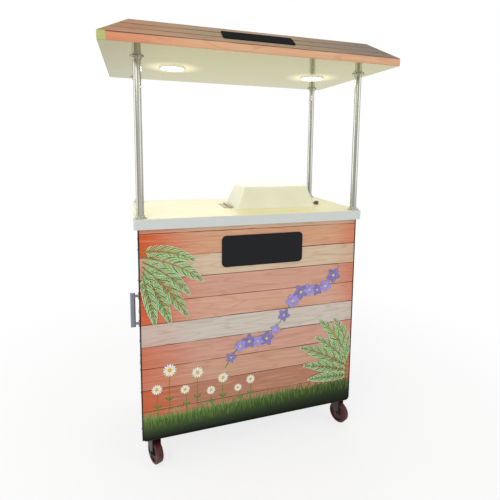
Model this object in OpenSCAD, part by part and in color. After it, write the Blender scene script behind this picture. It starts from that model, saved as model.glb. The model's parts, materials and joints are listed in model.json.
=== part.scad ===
// Sugarcane juice cart: a cabinet on four casters that holds a three-roller cane mill under a hood,
// with a counter, four posts and a lit canopy. Millimetres, +Z up, the front looks towards -Y.
// The origin is on the floor under the middle of the canopy.

/* [Counter] */
// Width of the counter slab
counter_w = 1040; // [980:10:1200]
// Depth of the counter slab, front to back
counter_d = 560; // [540:10:700]
// Thickness of the counter slab
counter_t = 44; // [30:1:50]
// Height of the counter's top face above the floor
counter_h = 1120; // [1080:10:1200]
// Radius of the slab's corners in plan
counter_r = 8; // [2:1:20]

/* [Cabinet] */
// Set-back of the side panels from the counter's ends
side_inset = 16; // [10:1:30]
// Set-back of the front panel and of the doors from the counter's long edges
face_inset = 18; // [12:1:24]
// Side of the square frame tubes
tube = 30; // [20:1:36]
// Thickness of the outer panels
panel_t = 4; // [2:1:8]
// Depth of the shelf's upper face under the counter's top face
shelf_z = 520; // [500:10:620]
// Thickness of the cabinet floor and of the shelf
deck_t = 6; // [3:1:12]

/* [Doors] */
// Depth of a door, front to back
door_t = 18; // [14:1:24]
// Sheet thickness of a door
door_sheet = 2; // [1:0.5:3]
// Gap all round a door
door_gap = 1; // [0.5:0.5:2]
// Width of the finger slot in a door
pull_w = 90; // [70:5:120]
// Height of the finger slot in a door
pull_h = 24; // [18:1:32]

/* [Casters] */
// Overall height of a caster, floor to cabinet
caster_h = 140; // [136:1:160]
// Diameter of a wheel
wheel_d = 100; // [80:1:100]
// Width of a wheel
wheel_w = 32; // [24:1:40]
// Distance from the swivel axis back to the axle
caster_trail = 36; // [28:1:44]
// Angle that the casters are turned to at rest, from straight ahead
caster_turn = 23; // [0:1:45]
// Distance from the frame's side faces to the swivel axes
caster_inset = 38; // [38:1:60]
// Distance from the frame's front face to the front swivel axes
caster_front_inset = 72; // [44:1:90]
// Distance from the frame's rear face to the rear swivel axes
caster_rear_inset = 46; // [44:1:90]
// Side of the square top plate of a caster
caster_plate_w = 72; // [66:1:76]

/* [Canopy] */
// Height of the ceiling's lower face above the floor
ceiling_h = 1760; // [1650:10:1950]
// Height of the upright edge of the roof
fascia_h = 30; // [30:1:60]
// Rise of the sloping part of the roof
roof_rise = 75; // [50:5:120]
// Set-back of the roof's flat top from its ends
roof_back_x = 100; // [60:5:160]
// Set-back of the roof's flat top from its long edges
roof_back_y = 105; // [80:5:160]
// Overhang of the canopy past the counter's left end
over_left = 100; // [60:5:160]
// Overhang of the canopy past the counter's right end
over_right = 40; // [20:5:160]
// Overhang of the canopy past the counter's front edge
over_front = 185; // [100:5:260]
// Overhang of the canopy past the counter's rear edge
over_rear = 15; // [15:5:60]
// Thickness of the roof and ceiling sheets
sheet_t = 2; // [1:0.5:4]
// Outer diameter of a post
post_d = 30; // [25:1:38]
// Wall of a post
post_wall = 1.5; // [1:0.5:3]
// Distance from the counter's edges to a post's axis
post_inset = 28; // [26:1:60]
// Diameter of a post's flange
flange_d = 54; // [48:1:56]

/* [Lamps] */
// Outer diameter of a lamp's rim
lamp_d = 120; // [90:5:160]
// Distance of a lamp from the middle of the counter, sideways
lamp_x = 340; // [250:10:420]
// Distance of the lamps in front of the middle of the counter
lamp_front = 70; // [0:10:150]

/* [Hood] */
// Width of the hood at its foot
hood_w = 410; // [400:5:440]
// Depth of the hood at its foot
hood_d = 230; // [228:1:260]
// Height of the hood
hood_h = 105; // [104:1:130]
// Lean of the hood's two ends, foot to top
hood_lean_x = 42; // [20:1:60]
// Lean of the hood's rear, foot to top
hood_lean_y = 40; // [20:1:46]
// Lean of the hood's front, foot to top
hood_lean_front = 12; // [8:1:46]
// Sheet thickness of the hood
hood_wall = 2; // [1:0.5:3]
// Width of the flat lip round the hood's foot
hood_lip = 12; // [10:1:16]
// Distance of the hood's middle to the right of the counter's middle
hood_x = 150; // [120:5:160]
// Width of the feed mouth in the hood's rear wall
mouth_w = 100; // [70:5:104]
// Height of the feed mouth
mouth_h = 42; // [30:1:46]

/* [Mill] */
// Gear module
gear_module = 3; // [2.8:0.1:3]
// Number of teeth on each roller gear
gear_teeth = 27; // [26:1:27]
// Face width of a roller gear
gear_w = 20; // [14:1:22]
// Length of a roller's grooved face
roller_len = 110; // [90:5:110]
// Gap between the top roller and each lower roller
nip = 4; // [3:0.5:6]
// Diameter of the roller shafts
shaft_d = 28; // [24:1:30]
// Number of grooves round a roller
groove_count = 11; // [6:1:14]
// Depth of a groove
groove_depth = 3; // [1:0.5:4]
// Thickness of a cheek plate
cheek_t = 12; // [10:1:14]
// Distance between the two lower roller axes
lower_spread = 100; // [96:1:102]
// Height of the top roller's axis above the counter's top face
mill_rise = 20; // [14:1:22]
// Depth of the mill rails' upper face under the counter's top face
mill_drop = 175; // [170:5:190]

/* [Drive] */
// Length of the gearbox along the roller shaft
gearbox_w = 80; // [70:1:84]
// Distance from the worm's axis to the roller shaft
worm_offset = 50; // [46:1:52]
// Outer diameter of the motor over its fins
motor_d = 136; // [120:1:138]
// Length of the motor's finned body
motor_len = 170; // [150:1:180]
// Length of the fan cowl
cowl_len = 45; // [40:1:50]

/* [Juice and waste] */
// Height of the juice tray's walls
tray_h = 46; // [40:1:50]
// Fall of the juice tray's floor towards its outlet
tray_fall = 14; // [8:1:18]
// Outer diameter of the tap's outlet
outlet_d = 18; // [14:1:20]
// Width of the waste bin
bin_w = 250; // [200:5:255]
// Depth of the waste bin
bin_d = 210; // [190:5:215]
// Height of the waste bin
bin_h = 225; // [180:5:230]
// Wall of the waste bin
bin_wall = 3; // [2:0.5:5]

/* [Signs and handle] */
// Width of the front sign plate
sign_w = 380; // [300:10:420]
// Height of the front sign plate
sign_h = 140; // [100:5:150]
// Depth of the front sign plate's middle under the counter's top face
sign_z = 161; // [140:1:180]
// Distance of the front sign plate's middle to the right of the counter's middle
sign_x = 34; // [-60:1:60]
// Width of the roof sign plate
roof_sign_w = 287; // [200:1:400]
// Height of the roof sign plate along the slope
roof_sign_h = 66; // [40:1:80]
// Distance of the roof sign plate's middle to the left of the canopy's middle
roof_sign_left = 16; // [-100:1:100]
// Thickness of both sign plates
sign_t = 3; // [2:0.5:6]
// Length of the grab handle's bar
handle_len = 156; // [120:1:220]
// Width of the grab handle's flat bar, away from the side panel
handle_w = 22; // [16:1:24]
// Distance that the grab handle stands out from the side panel
handle_out = 38; // [34:1:50]
// Depth of the grab handle's middle under the counter's top face
handle_z = 436; // [320:1:560]

/* [Hidden] */
$fn = 48;

// Clearances that all pieces share
overrun = 1;
seat_gap = 0.3;
running_gap = 0.05;
press_gap = 0.02;

// Plan of the canopy and of the counter inside it
canopy_w = counter_w + over_left + over_right;
canopy_d = counter_d + over_front + over_rear;
cart_x = (over_left - over_right) / 2;
cart_y = (over_front - over_rear) / 2;

// Cabinet and frame
cab_w = counter_w - 2 * side_inset;
cab_d = counter_d - 2 * face_inset;
cabinet_top = counter_h - counter_t;
frame_w = cab_w - 2 * panel_t;
frame_front = -cab_d / 2 + panel_t;
frame_rear = cab_d / 2 - door_t;
frame_d = frame_rear - frame_front;
frame_y = (frame_rear + frame_front) / 2;
upright_x = frame_w / 2 - tube;
gusset_t = 6;
deck_gap = 0.5;
rail_top = counter_h - mill_drop;
shelf_top = counter_h - shelf_z;
panel_corner_r = 20;

// Doors and their lift-off hinges
door_w = (frame_w - 3 * door_gap) / 2;
door_z = caster_h + tube / 2;
door_top = shelf_top - deck_t - door_gap;
door_rear = cab_d / 2;
hinge_r = 4.5;
hinge_pin_r = 2.5;
hinge_half = 20;
hinge_leaf_t = 2;
hinge_leaf_w = 30;
hinge_axis_in = 3;
hinge_x = frame_w / 2 - hinge_axis_in;
hinge_y = door_rear + hinge_r + seat_gap;
hinge_rise_shares = [0.14, 0.8];
pull_drop = 50;
pull_in = 70;

// Casters
wheel_r = wheel_d / 2;
axle_r = 5;
wheel_hub_r = 16;
wheel_tread_r = 6;
fork_gap = 2;
leg_t = 3;
leg_r = 12;
leg_top_w = 46;
crown_t = 5;
crown_r = 26;
king_r = 6;
king_nut_r = 10;
king_nut_t = 8;
plate_t = 6;
boss_h = 9;
boss_r = 24;
race_gap = 0.5;
crown_h = 8;
crown_top = caster_h - plate_t - boss_h - race_gap;
crown_z = crown_top - crown_h;
axle_head_t = 6;
axle_head_r = 9;
caster_x = frame_w / 2 - caster_inset;
caster_front_y = frame_front + caster_front_inset;
caster_rear_y = frame_rear - caster_rear_inset;

// Canopy, posts and lamps
post_r = post_d / 2;
post_x = counter_w / 2 - post_inset;
post_y = counter_d / 2 - post_inset;
flange_t = 4;
collar_h = 14;
collar_t = 3;
roof_beam = 24;
rim_h = 6;
rim_band = 8;
lamp_neck = 12;
neck_wall = 2;
lens_t = 3;
slope_angle = atan2(roof_rise, roof_back_y);
slope_len = norm([roof_rise, roof_back_y]);
roof_sign_r = 8;
sign_r = 20;

// Hood, its hinge and its catch
hood_r = 10;
hood_top_r = 7;
hood_top_step = 30;
slice_t = 0.1;
hood_z = counter_h + seat_gap;
lip_t = 2;
cut_ledge_x = 20;
cut_ledge_y = 6;
cut_w = hood_w - 2 * cut_ledge_x;
cut_d = hood_d - 2 * cut_ledge_y;
knuckle_r = 5;
hood_pin_r = 2.5;
hood_hinge_len = 144;
knuckle_len = hood_hinge_len / 4;
hood_leaf_t = 2;
hood_leaf_w = 30;
hood_hinge_x = hood_x - hood_w / 2 - hood_lip - knuckle_r;
hood_hinge_z = counter_h + knuckle_r + seat_gap;
leaf_reach = hood_lip - knuckle_r / 2;
catch_out = 40;
catch_front = 50;
catch_x = hood_x + hood_w / 2 + catch_out;
stud_r = 4;
stud_h = 15;
stud_foot_r = 11;
stud_foot_t = 3;
catch_t = 4;
catch_w = 14;
catch_reach = catch_out - hood_lip / 4;
catch_knob_r = 11;
catch_knob_h = 10;

// Mill: the top axis, the two lower axes and the gears
mill_left = 55;
mill_x = hood_x - mill_left;
mill_y = 14;
pitch_r = gear_module * gear_teeth / 2;
axis_gap = 2 * pitch_r;
lower_dy = lower_spread / 2;
lower_dz = sqrt(axis_gap * axis_gap - lower_dy * lower_dy);
top_axis_z = counter_h + mill_rise;
low_axis_z = top_axis_z - lower_dz;
roller_r = (axis_gap - nip) / 2;
shaft_r = shaft_d / 2;
side_gap = 1;
cheek_in = roller_len / 2 + side_gap;
cheek_out = cheek_in + cheek_t;
bush_wall = 4;
bush_r = shaft_r + bush_wall;
bush_flange_r = bush_r + bush_wall;
bush_flange_t = 3;
gear_clear = 4;
gear_x = mill_x - cheek_out - bush_flange_t - gear_clear - gear_w;
gear_hub_wall = 6;
gear_hub_r = shaft_r + gear_hub_wall;
shaft_tail = 6;
shaft_left = gear_x - shaft_tail - mill_x;
shaft_right = cheek_out + bush_flange_t + shaft_tail;
groove_land_share = 0.2;
block_half = 24;
block_wall = 4;
block_w = 2 * (bush_r + block_wall);
slot_floor = top_axis_z - block_half;
block_travel = 14;
cheek_rim = 12;
cheek_foot_out = 34;
cheek_top = top_axis_z + block_half + block_travel;
cheek_top_half = block_w / 2 + cheek_rim;
cheek_mid_half = lower_dy + bush_r + cheek_rim;
cheek_foot_half = cheek_mid_half + cheek_foot_out;
cheek_foot_h = 30;
cheek_waist_z = low_axis_z - 2 * bush_r;
cheek_shoulder_z = top_axis_z - (cheek_mid_half - cheek_top_half) * lower_dz / lower_dy;
cap_h = 12;
screw_r = 4.5;
screw_head_r = 11;
screw_head_h = 8;
screw_out = 8;
tie_r = 7;
tie_dy = 70;
tie_rise = 15;
tie_z = rail_top + tie_rise;
tie_nut_r = 11;
tie_nut_t = 7;
rail_dy = 99;
pressure_angle = 20;
backlash = 0.3;
addendum_share = 1;
dedendum_share = 1.25;
flank_shares = [0, 0.35, 0.7, 1];

// Where the cane runs: square to the line through the top and rear axes
nip_y = mill_y + lower_dy / 2;
nip_z = (top_axis_z + low_axis_z) / 2;
feed_angle = atan2(lower_dy, lower_dz);
feed_drop = 18;
feed_len = 30;
feed_sheet = 2;
feed_side_h = 22;
feed_clear = 3;
feed_depth = axis_gap / 2 - feed_drop - feed_sheet;
feed_start = sqrt((roller_r + feed_clear) * (roller_r + feed_clear) - feed_depth * feed_depth);
feed_seat = (mill_y + cheek_top_half - nip_y) * cos(feed_angle) + (top_axis_z - nip_z) * sin(feed_angle);
rear_slope = hood_lean_y / hood_h;
cane_reach = hood_d / 2 - rear_slope * (nip_z - hood_z) - nip_y;
cane_run = cane_reach / (cos(feed_angle) + rear_slope * sin(feed_angle));
mouth_z = nip_z + cane_run * sin(feed_angle);

// Trash plate between the lower rollers
trash_clear = 2;
trash_drop = 6;
trash_h = 22;

// Drive
shaft_y = mill_y + lower_dy;
motor_gap = 12;
drive_x = mill_x + cheek_out + tie_nut_t + motor_gap + motor_d / 2;
wheel_case_r = 42;
worm_case_r = 30;
motor_flange_r = 52;
flange_plate_t = 8;
gearbox_top = low_axis_z + wheel_case_r;
gearbox_drop = 64;
gearbox_base = low_axis_z - gearbox_drop;
hub_r = 26;
hub_out = 6;
drive_shaft_right = drive_x + gearbox_w / 2 + shaft_tail - mill_x;
worm_y = shaft_y - worm_offset;
motor_top = gearbox_base - flange_plate_t;
fin_count = 24;
fin_t = 3;
fin_h = 7;
motor_core_r = motor_d / 2 - fin_h;
bracket_t = 6;
bracket_in = 7;
bracket_w = gearbox_w - 2 * bracket_in;
term_w = 70;
term_d = 34;
term_h = 66;
term_drop = 132;
cowl_wall = 2;
slot_count = 12;
slot_w = 5;
gland_r = 8;
gland_len = 10;

// Juice and waste
tray_half = 86;
tray_wall = 2;
tray_clear = 6;
tray_top = low_axis_z - roller_r - tray_clear;
tray_base = tray_top - tray_h;
pipe_r = 9;
pipe_bore_r = 7;
pipe_len = 44;
pipe_rise = 3;
pipe_z = tray_base + pipe_r + pipe_rise;
tap_r = 14;
tap_len = 56;
tap_y = mill_y + tray_half + pipe_len;
outlet_r = outlet_d / 2;
outlet_drop = 46;
outlet_in = 4;
outlet_y = tap_y + tap_len - outlet_r - outlet_in;
stem_r = 5;
stem_in = 22;
stem_y = tap_y + stem_in;
neck_r = 9;
neck_h = 10;
lever_len = 62;
lever_w = 14;
lever_t = 5;
strainer_t = 1.5;
strainer_drop = 12;
strainer_hole_r = 3;
strainer_pitch = 11;
ledge = 6;
chute_sheet = 2;
chute_clear = 3;
chute_neck = 40;
chute_knee = 14;
chute_len = 95;
chute_top = cabinet_top - 2 * chute_sheet;
chute_neck_z = low_axis_z - chute_neck;
chute_knee_z = rail_top + chute_knee;
chute_base = rail_top - chute_len;
chute_front_y = chute_sheet - cut_d / 2;
chute_rear_y = mill_y - lower_dy - roller_r - chute_clear - chute_sheet;
chute_foot_rear = mill_y - rail_dy - tube / 2;
chute_foot_d = 86;
bin_left = 60;
bin_front = 120;
bin_x = mill_x - bin_left;
bin_y = -bin_front;
bin_rim = 8;
bin_rim_t = 4;
bin_grip_w = 90;
bin_grip_h = 26;
bin_grip_drop = 30;

// Switch box and mains inlet
switch_w = 62;
switch_d = 48;
switch_h = 92;
switch_drop = 6;
switch_z = cabinet_top - tube - switch_drop - switch_h;
button_r = 11;
button_h = 10;
button_bore_gap = 0.3;
button_seat = 6;
button_rise_shares = [0.3, 0.7];
inlet_w = 58;
inlet_t = 4;
inlet_r = 22;
inlet_depth = 26;
inlet_wall = 2;
inlet_y = 60;
inlet_z = 300;
inlet_pin_r = 2.4;
inlet_pin_ring = 10;
inlet_pin_len = 18;
inlet_pin_count = 3;
inlet_corner_r = 6;

// Grab handle
handle_y = -130;
handle_t = 12;
handle_edge_r = 5;
handle_foot_r = 16;
handle_foot_t = 4;
handle_foot_in = 14;

// Shapes that several pieces share
module at_cart() {
  translate([cart_x, cart_y, 0]) children();
}

module box(low, high) {
  translate(low) cube(high - low);
}

module along_x(from, to) {
  translate([from, 0, 0]) rotate([90, 0, 90]) linear_extrude(to - from) children();
}

module rod_x(from, to, r) {
  translate([from, 0, 0]) rotate([0, 90, 0]) cylinder(to - from, r, r);
}

module rod_y(from, to, r) {
  translate([0, from, 0]) rotate([-90, 0, 0]) cylinder(to - from, r, r);
}

module rounded_rect(w, d, r) {
  square([w - 2 * r, d], center = true);
  square([w, d - 2 * r], center = true);
  for (sx = [-1, 1], sy = [-1, 1])
    translate([sx * (w / 2 - r), sy * (d / 2 - r)]) circle(r);
}

module at_corners(x, y) {
  for (sx = [-1, 1], sy = [-1, 1])
    translate([sx * x, sy * y, 0]) children();
}

// Ring of square tubes lying flat, its outer faces at w by d
module tube_ring(w, d) {
  difference() {
    translate([-w / 2, -d / 2, 0]) cube([w, d, tube]);
    translate([tube - w / 2, tube - d / 2, -overrun])
      cube([w - 2 * tube, d - 2 * tube, tube + 2 * overrun]);
  }
}

// Cabinet
module base_frame() {
  inner = caster_x - caster_plate_w / 2;
  color("black") at_cart() translate([0, 0, caster_h]) {
    translate([0, frame_y, 0]) tube_ring(frame_w, frame_d);
    for (side = [0, 1])
      mirror([side, 0, 0]) {
        box([inner, frame_front, 0], [frame_w / 2, caster_front_y + caster_plate_w / 2, gusset_t]);
        box([inner, caster_rear_y - caster_plate_w / 2, 0], [frame_w / 2, frame_rear, gusset_t]);
      }
  }
}

module corner_uprights() {
  color("black") at_cart() translate([0, frame_y, caster_h + tube])
    at_corners(frame_w / 2 - tube / 2, frame_d / 2 - tube / 2)
      translate([-tube / 2, -tube / 2, 0]) cube([tube, tube, cabinet_top - caster_h - 2 * tube]);
}

// Two side rails along Y between the uprights, with their upper faces at a height
module side_rails(top) {
  for (x = [-frame_w / 2, frame_w / 2 - tube])
    translate([x, frame_front + tube, top - tube]) cube([tube, frame_d - 2 * tube, tube]);
}

// Top ring, mill rails with the gearbox bracket, and shelf rails
module frame_rails() {
  color("dimgray") at_cart() {
    translate([0, frame_y, cabinet_top - tube]) tube_ring(frame_w, frame_d);
    side_rails(rail_top);
    for (side = [-1, 1])
      translate([-upright_x, mill_y + side * rail_dy - tube / 2, rail_top - tube])
        cube([2 * upright_x, tube, tube]);
    box([drive_x - bracket_w / 2, shaft_y + wheel_case_r, rail_top],
        [drive_x + bracket_w / 2, shaft_y + wheel_case_r + bracket_t, low_axis_z - seat_gap]);
    side_rails(shelf_top - deck_t);
    translate([-upright_x, frame_rear - tube, shelf_top - deck_t - tube]) cube([2 * upright_x, tube, tube]);
  }
}

// Flat sheet inside the frame, notched round the uprights
module deck(z) {
  difference() {
    box([-frame_w / 2, frame_front, z], [frame_w / 2, frame_rear, z + deck_t]);
    translate([0, frame_y, z - overrun]) at_corners(frame_w / 2, frame_d / 2)
      translate([-tube - deck_gap, -tube - deck_gap, 0])
        cube([2 * tube + 2 * deck_gap, 2 * tube + 2 * deck_gap, deck_t + 2 * overrun]);
  }
}

// Cabinet floor and shelf
module deck_sheets() {
  color("silver") at_cart() {
    deck(caster_h + tube);
    deck(shelf_top - deck_t);
  }
}

// Front sheet with round lower corners
module front_panel() {
  round_x = cab_w / 2 - panel_corner_r;
  round_z = caster_h + panel_corner_r;
  color("sandybrown") at_cart() translate([0, frame_front, 0]) rotate([90, 0, 0]) linear_extrude(panel_t) {
    translate([-cab_w / 2, round_z]) square([cab_w, cabinet_top - round_z]);
    translate([-round_x, caster_h]) square([2 * round_x, panel_corner_r]);
    for (side = [-1, 1])
      translate([side * round_x, round_z]) circle(panel_corner_r);
  }
}

// Left and right panels; the right one is cut for the mains inlet
module side_panels() {
  color("black") at_cart() difference() {
    for (x = [-cab_w / 2, frame_w / 2])
      box([x, frame_front, caster_h], [x + panel_t, door_rear, cabinet_top]);
    translate([0, inlet_y, inlet_z])
      rod_x(frame_w / 2 - overrun, cab_w / 2 + overrun, inlet_r + inlet_wall + seat_gap);
  }
}

// Flanged cup in the right panel with three contact pins
module mains_inlet() {
  face = cab_w / 2 + inlet_t;
  floor_x = face - inlet_depth;
  color("dimgray") at_cart() translate([0, inlet_y, inlet_z]) {
    difference() {
      union() {
        along_x(cab_w / 2, face) rounded_rect(inlet_w, inlet_w, inlet_corner_r);
        rod_x(floor_x, face, inlet_r + inlet_wall);
      }
      rod_x(floor_x + inlet_wall, face + overrun, inlet_r);
    }
    for (i = [0 : inlet_pin_count - 1])
      rotate([i * 360 / inlet_pin_count, 0, 0]) translate([0, 0, inlet_pin_ring])
        rod_x(floor_x + inlet_wall, floor_x + inlet_wall + inlet_pin_len, inlet_pin_r);
  }
}

module counter_top() {
  color("whitesmoke") at_cart() translate([0, 0, cabinet_top]) difference() {
    linear_extrude(counter_t) rounded_rect(counter_w, counter_d, counter_r);
    translate([hood_x - cut_w / 2, -cut_d / 2, -overrun]) cube([cut_w, cut_d, counter_t + 2 * overrun]);
  }
}

module front_sign_plate() {
  color("black") at_cart() translate([sign_x, -cab_d / 2, counter_h - sign_z]) rotate([90, 0, 0])
    linear_extrude(sign_t) rounded_rect(sign_w, sign_h, sign_r);
}

module grab_handle() {
  bar_x = handle_w / 2 - handle_out;
  foot = handle_len / 2 - handle_foot_in;
  color("silver") at_cart() translate([-cab_w / 2, handle_y, counter_h - handle_z]) {
    translate([bar_x, 0, -handle_len / 2]) linear_extrude(handle_len)
      rounded_rect(handle_w, handle_t, handle_edge_r);
    for (end = [-1, 1])
      translate([0, 0, end * foot]) {
        rod_x(bar_x, 0, handle_t / 2);
        rod_x(-handle_foot_t, 0, handle_foot_r);
      }
  }
}

// Fixed half of a lift-off hinge on the right side: leaf, lower barrel and pin
module hinge_pin_half() {
  leaf_x = cab_w / 2 - hinge_x;
  linear_extrude(hinge_half) {
    circle(hinge_r);
    translate([0, -hinge_r]) square([leaf_x, 2 * hinge_r]);
    translate([leaf_x, -hinge_leaf_w]) square([hinge_leaf_t, hinge_leaf_w + hinge_r]);
  }
  cylinder(2 * hinge_half, hinge_pin_r, hinge_pin_r);
}

// Moving half of the same hinge: upper barrel on a leaf that lies on the door
module hinge_socket_half() {
  difference() {
    union() {
      cylinder(hinge_half - seat_gap, hinge_r, hinge_r);
      translate([-hinge_leaf_w, -hinge_r - seat_gap, 0])
        cube([hinge_leaf_w, hinge_leaf_t + seat_gap, hinge_half - seat_gap]);
      translate([-hinge_r, -hinge_r - seat_gap, 0]) cube([hinge_r, hinge_r, hinge_half - seat_gap]);
    }
    translate([0, 0, -overrun])
      cylinder(hinge_half + 2 * overrun, hinge_pin_r + running_gap, hinge_pin_r + running_gap);
  }
}

function hinge_z(share) = door_z + share * (door_top - door_z);

module door_hinge_pins() {
  color("silver") at_cart() for (side = [0, 1], share = hinge_rise_shares)
    mirror([side, 0, 0]) translate([hinge_x, hinge_y, hinge_z(share)]) hinge_pin_half();
}

// Folded door pan on the right side, with its finger slot and hinge halves
module door_pan() {
  free_x = door_gap / 2;
  difference() {
    box([free_x, frame_rear + door_gap, door_z], [free_x + door_w, door_rear, door_top]);
    box([free_x + door_sheet, frame_rear - overrun, door_z + door_sheet],
        [free_x + door_w - door_sheet, door_rear - door_sheet, door_top - door_sheet]);
    translate([pull_in + pull_w / 2, door_rear + overrun, door_top - pull_drop]) rotate([90, 0, 0])
      linear_extrude(door_sheet + 2 * overrun) rounded_rect(pull_w, pull_h, pull_h / 2 - press_gap);
  }
  for (share = hinge_rise_shares)
    translate([hinge_x, hinge_y, hinge_z(share) + hinge_half + seat_gap]) hinge_socket_half();
}

module door_right() {
  color("gainsboro") at_cart() door_pan();
}

module door_left() {
  color("gainsboro") at_cart() mirror([1, 0, 0]) door_pan();
}

// Canopy
module canopy_posts() {
  color("silver") at_cart() translate([0, 0, counter_h]) at_corners(post_x, post_y) difference() {
    cylinder(ceiling_h - counter_h, post_r, post_r);
    translate([0, 0, -overrun])
      cylinder(ceiling_h - counter_h + 2 * overrun, post_r - post_wall, post_r - post_wall);
  }
}

module post_flange() {
  difference() {
    rotate_extrude() polygon([
      [0, 0], [flange_d / 2, 0], [flange_d / 2, flange_t], [post_r + collar_t, flange_t],
      [post_r + collar_t, collar_h], [0, collar_h]
    ]);
    translate([0, 0, -overrun])
      cylinder(collar_h + 2 * overrun, post_r + press_gap, post_r + press_gap);
  }
}

module post_flanges() {
  color("silver") at_cart() at_corners(post_x, post_y) {
    translate([0, 0, counter_h]) post_flange();
    translate([0, 0, ceiling_h]) mirror([0, 0, 1]) post_flange();
  }
}

module hip_profile(w, edge_h, back) {
  polygon([
    [-w / 2, 0], [w / 2, 0], [w / 2, edge_h], [w / 2 - back, edge_h + roof_rise],
    [back - w / 2, edge_h + roof_rise], [-w / 2, edge_h]
  ]);
}

// Hipped block with an upright edge and a flat top
module hip_block(w, d, edge_h) {
  intersection() {
    rotate([90, 0, 0]) linear_extrude(d, center = true) hip_profile(w, edge_h, roof_back_x);
    rotate([90, 0, 90]) linear_extrude(w, center = true) hip_profile(d, edge_h, roof_back_y);
  }
}

module roof_shell() {
  color("peru") translate([0, 0, ceiling_h]) difference() {
    hip_block(canopy_w, canopy_d, fascia_h);
    translate([0, 0, -overrun])
      hip_block(canopy_w - 2 * sheet_t, canopy_d - 2 * sheet_t, fascia_h - sheet_t + overrun);
  }
}

// Two beams along X over the posts and two along Y, all out to the roof's edge
module roof_frame() {
  reach_x = canopy_w / 2 - sheet_t;
  reach_y = canopy_d / 2 - sheet_t;
  color("dimgray") translate([0, 0, ceiling_h + sheet_t]) {
    for (side = [-1, 1]) {
      translate([-reach_x, cart_y + side * post_y - roof_beam / 2, 0])
        cube([2 * reach_x, roof_beam, roof_beam]);
      translate([cart_x + side * post_x - roof_beam / 2, -reach_y, 0])
        cube([roof_beam, 2 * reach_y, roof_beam]);
    }
  }
}

module at_lamps() {
  at_cart() for (side = [-1, 1])
    translate([side * lamp_x, -lamp_front, ceiling_h]) children();
}

module ceiling_panel() {
  color("darkseagreen") difference() {
    translate([sheet_t - canopy_w / 2, sheet_t - canopy_d / 2, ceiling_h])
      cube([canopy_w - 2 * sheet_t, canopy_d - 2 * sheet_t, sheet_t]);
    at_lamps() translate([0, 0, -overrun])
      cylinder(sheet_t + 2 * overrun, lamp_d / 2 - rim_band + seat_gap, lamp_d / 2 - rim_band + seat_gap);
  }
}

module lamp_rims() {
  neck_r_out = lamp_d / 2 - rim_band;
  color("white") at_lamps() rotate_extrude() polygon([
    [neck_r_out - neck_wall, lamp_neck], [neck_r_out - neck_wall, -rim_h], [lamp_d / 2 - neck_wall, -rim_h],
    [lamp_d / 2, -neck_wall], [lamp_d / 2, 0], [neck_r_out, 0], [neck_r_out, lamp_neck]
  ]);
}

module lamp_lenses() {
  lens_r = lamp_d / 2 - rim_band - neck_wall;
  color("lightyellow") at_lamps() translate([0, 0, -rim_h + lens_t / 2]) cylinder(lens_t, lens_r, lens_r);
}

module roof_sign_plate() {
  color("black") translate([-roof_sign_left, -canopy_d / 2, ceiling_h + fascia_h])
    rotate([slope_angle, 0, 0]) translate([0, slope_len / 2, 0])
      linear_extrude(sign_t) rounded_rect(roof_sign_w, roof_sign_h, roof_sign_r);
}

// One level slice through the hood's outline at a height, drawn in all round by an inset
module hood_slice(z, inset) {
  w = hood_w - 2 * inset - 2 * hood_lean_x * z / hood_h;
  d = hood_d - 2 * inset - (hood_lean_front + hood_lean_y) * z / hood_h;
  y = (hood_lean_front - hood_lean_y) / 2 * z / hood_h;
  translate([0, y, z]) linear_extrude(slice_t) rounded_rect(w, d, hood_r, $fn = 32);
}

// Hood: tapered block of pressed sheet with round corners and a soft top edge
module hood_block(shrink, floor) {
  edge_r = hood_top_r - shrink;
  hull() {
    hood_slice(-floor, shrink);
    for (a = [0:hood_top_step:90])
      hood_slice(hood_h - shrink - slice_t - edge_r * (1 - sin(a)), shrink + edge_r * (1 - cos(a)));
  }
}

module hood() {
  lip_w = hood_w + 2 * hood_lip;
  lip_d = hood_d + 2 * hood_lip;
  color("ivory") at_cart() translate([hood_x, 0, hood_z]) difference() {
    union() {
      hood_block(0, 0);
      linear_extrude(lip_t) rounded_rect(lip_w, lip_d, hood_r);
    }
    hood_block(hood_wall, overrun);
    translate([mill_x - hood_x - mouth_w / 2, 0, mouth_z - hood_z - mouth_h / 2])
      cube([mouth_w, hood_d, mouth_h]);
  }
}

module at_hood_hinge() {
  at_cart() translate([hood_hinge_x, 0, hood_hinge_z]) children();
}

// Fixed hinge half with its pin, and the stud that the catch turns on
module hood_mounts() {
  half = hood_hinge_len / 2;
  color("dimgray") {
    at_hood_hinge() {
      rod_y(-half, half, hood_pin_r);
      for (end = [-half, half - knuckle_len])
        rod_y(end, end + knuckle_len, knuckle_r);
      difference() {
        box([-hood_leaf_w, -half, -knuckle_r - seat_gap], [0, half, hood_leaf_t - knuckle_r - seat_gap]);
        box([-knuckle_r - seat_gap, knuckle_len - half - seat_gap, -2 * knuckle_r],
            [overrun, half - knuckle_len + seat_gap, 0]);
      }
    }
    at_cart() translate([catch_x, -catch_front, counter_h]) {
      cylinder(stud_foot_t, stud_foot_r, stud_foot_r);
      cylinder(stud_h, stud_r, stud_r);
    }
  }
}

module hood_hinge_leaf() {
  half = hood_hinge_len / 2;
  inner = half - knuckle_len - seat_gap;
  leaf_z = hood_z + lip_t - hood_hinge_z;
  color("dimgray") at_hood_hinge() difference() {
    union() {
      rod_y(-inner, inner, knuckle_r);
      box([0, -inner, leaf_z], [knuckle_r + leaf_reach, inner, leaf_z + hood_leaf_t]);
      box([knuckle_r + seat_gap, -half, leaf_z], [knuckle_r + leaf_reach, half, leaf_z + hood_leaf_t]);
    }
    rod_y(-half, half, hood_pin_r + running_gap);
  }
}

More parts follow.
